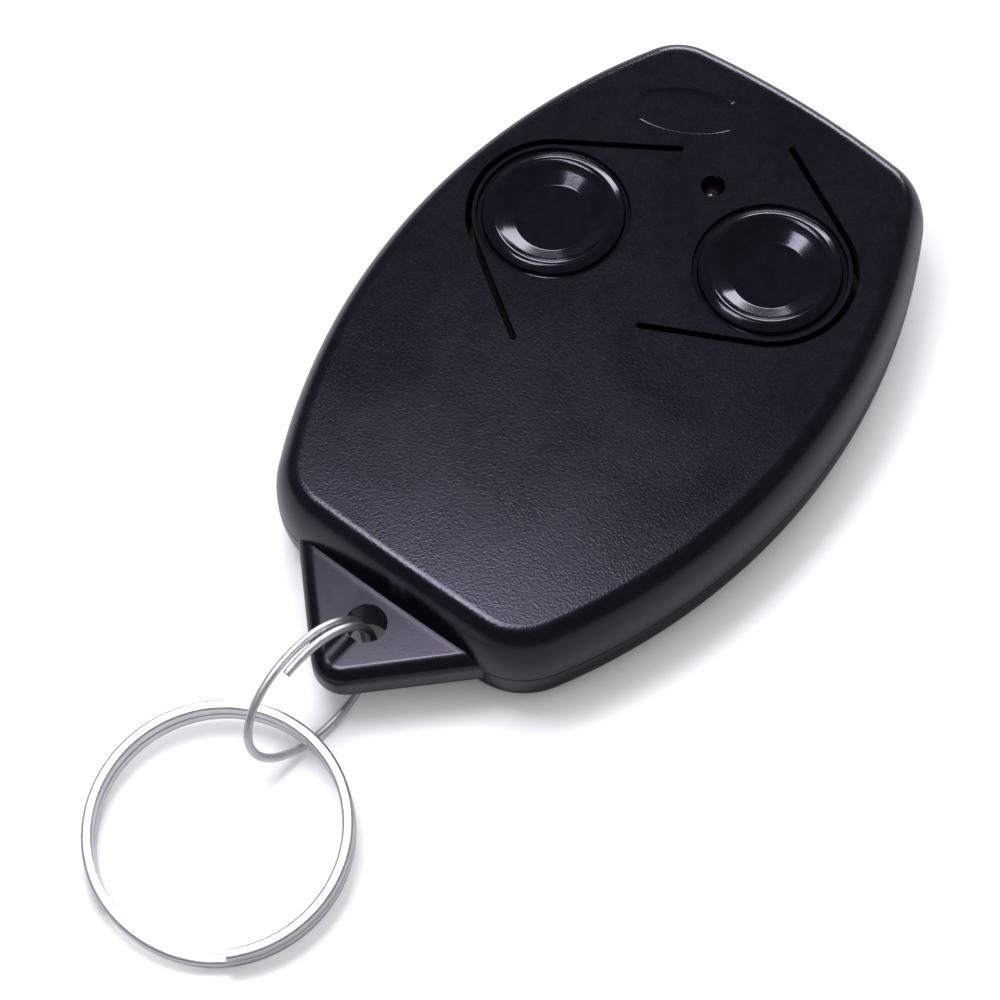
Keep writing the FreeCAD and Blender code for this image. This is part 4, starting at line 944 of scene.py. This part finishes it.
# Floor sizes in millimetres, and the reach of its painted contact shadow in metres
FLOOR_HALF_SIZE = 1500
FLOOR_DROP = 0.02
FLOOR_LIFT = 0.84
PAINTED_SHADE_REACH = 0.007
PAINTED_SHADE_POWER = 1.5
WORLD_LIGHT = 0.14
LIGHT_COLOUR = (0.95, 0.93, 1.0)

# Each light: name, direction, distance, width, height, power and target, in metres and watts
TAIL_END = (0, -0.026, 0.01)
REMOTE = (0, -0.008, 0.005)
LIGHTS = (
    ("near_box", (-0.213, 0.237, 0.948), 0.232, 0.028, 0.028, 0.066, TAIL_END),
    ("tail_box", (-0.27, -0.02, 0.96), 0.115, 0.038, 0.038, 0.075, TAIL_END),
    ("far_box", (-0.36, 0.88, 0.28), 0.6, 0.44, 0.2, 2.8, REMOTE),
)

# The photo's camera, fitted to the outline of the casing and to the rings
CAMERA_LENS = 117.89
CAMERA_SENSOR = 36
CAMERA_PLACE = (
    (0.78814, -0.53619, 0.30222, 0.07499),
    (0.61498, 0.70619, -0.35085, -0.100305),
    (-0.0253, 0.46238, 0.88632, 0.221744),
    (0, 0, 0, 1),
)


def make_floor():
    """White floor that the camera sees as white, except where the remote shades it: real shadow
    from the lamps, plus painted shade from an occlusion mask near and under the remote.
    """
    bm = bmesh.new()
    bmesh.ops.create_grid(bm, x_segments=1, y_segments=1, size=FLOOR_HALF_SIZE)
    bmesh.ops.translate(bm, verts=bm.verts, vec=(0, 0, -FLOOR_DROP))
    bmesh.ops.transform(bm, matrix=Matrix.Scale(0.001, 4), verts=bm.verts)
    floor = loose_object(bm, "studio_floor")
    material = bpy.data.materials.new("studio_floor_white")
    material.use_nodes = True
    tree = material.node_tree
    shader = tree.nodes["Principled BSDF"]
    shader.inputs["Base Color"].default_value = (0.9, 0.9, 0.91, 1)
    shader.inputs["Roughness"].default_value = 0.9
    shader.inputs["Specular IOR Level"].default_value = 0.0
    seen = tree.nodes.new("ShaderNodeLightPath")
    # Painted contact shadow: an ambient occlusion mask darkens the camera's glow near and under the
    # remote
    open_sky = add(tree, "ShaderNodeAmbientOcclusion", samples=8)
    open_sky.inputs["Distance"].default_value = PAINTED_SHADE_REACH
    painted_shade_mask = maths(tree, "POWER", open_sky.outputs["AO"], PAINTED_SHADE_POWER)
    glow = maths(tree, "MULTIPLY", painted_shade_mask, FLOOR_LIFT)
    lift = maths(tree, "MULTIPLY", seen.outputs["Is Camera Ray"], glow)
    shader.inputs["Emission Color"].default_value = (1, 1, 1, 1)
    tree.links.new(lift, shader.inputs["Emission Strength"])
    floor.data.materials.append(material)


def make_world():
    """White sky for the camera, and much dimmer as a light."""
    world = bpy.data.worlds.new("studio_world")
    bpy.context.scene.world = world
    world.use_nodes = True
    tree = world.node_tree
    light = tree.nodes["Background"]
    light.inputs["Color"].default_value = (1, 1, 1, 1)
    seen = tree.nodes.new("ShaderNodeLightPath")
    strength = band(tree, seen.outputs["Is Camera Ray"], 0, 1, WORLD_LIGHT, 1.0)
    tree.links.new(strength, light.inputs["Strength"])


def soft_light(name, direction, distance, width, height, power, target):
    data = bpy.data.lights.new(name, "AREA")
    data.shape = "RECTANGLE"
    data.size = width
    data.size_y = height
    data.energy = power
    data.color = LIGHT_COLOUR
    lamp = bpy.data.objects.new(name, data)
    bpy.context.scene.collection.objects.link(lamp)
    away = Vector(direction).normalized()
    lamp.location = Vector(target) + away * distance
    lamp.rotation_mode = "QUATERNION"
    lamp.rotation_quaternion = away.to_track_quat("Z", "Y")
    lamp.visible_camera = False


def make_camera():
    data = bpy.data.cameras.new("photo_camera")
    data.lens = CAMERA_LENS
    data.sensor_width = CAMERA_SENSOR
    camera = bpy.data.objects.new("photo_camera", data)
    bpy.context.scene.collection.objects.link(camera)
    camera.matrix_world = Matrix(CAMERA_PLACE)
    bpy.context.scene.camera = camera


def build():
    materials = make_materials()
    dress_nodes(materials)
    make_front_cover(materials["casing_plastic"])
    make_back_cover(materials["casing_plastic"])
    for name, key in KEYS.items():
        make_key(name, casing_plastic("key_plastic_" + name, smooth_spot=key[:2], gloss=0.16))
    make_lamp(materials["lamp_resin"])
    make_screw(materials["screw_steel"])
    make_jump_ring(materials["ring_wire"])
    make_key_ring(materials["ring_wire"])
    make_floor()
    make_world()
    for light in LIGHTS:
        soft_light(*light)
    make_camera()
    bpy.context.scene.view_settings.view_transform = "Standard"


build()
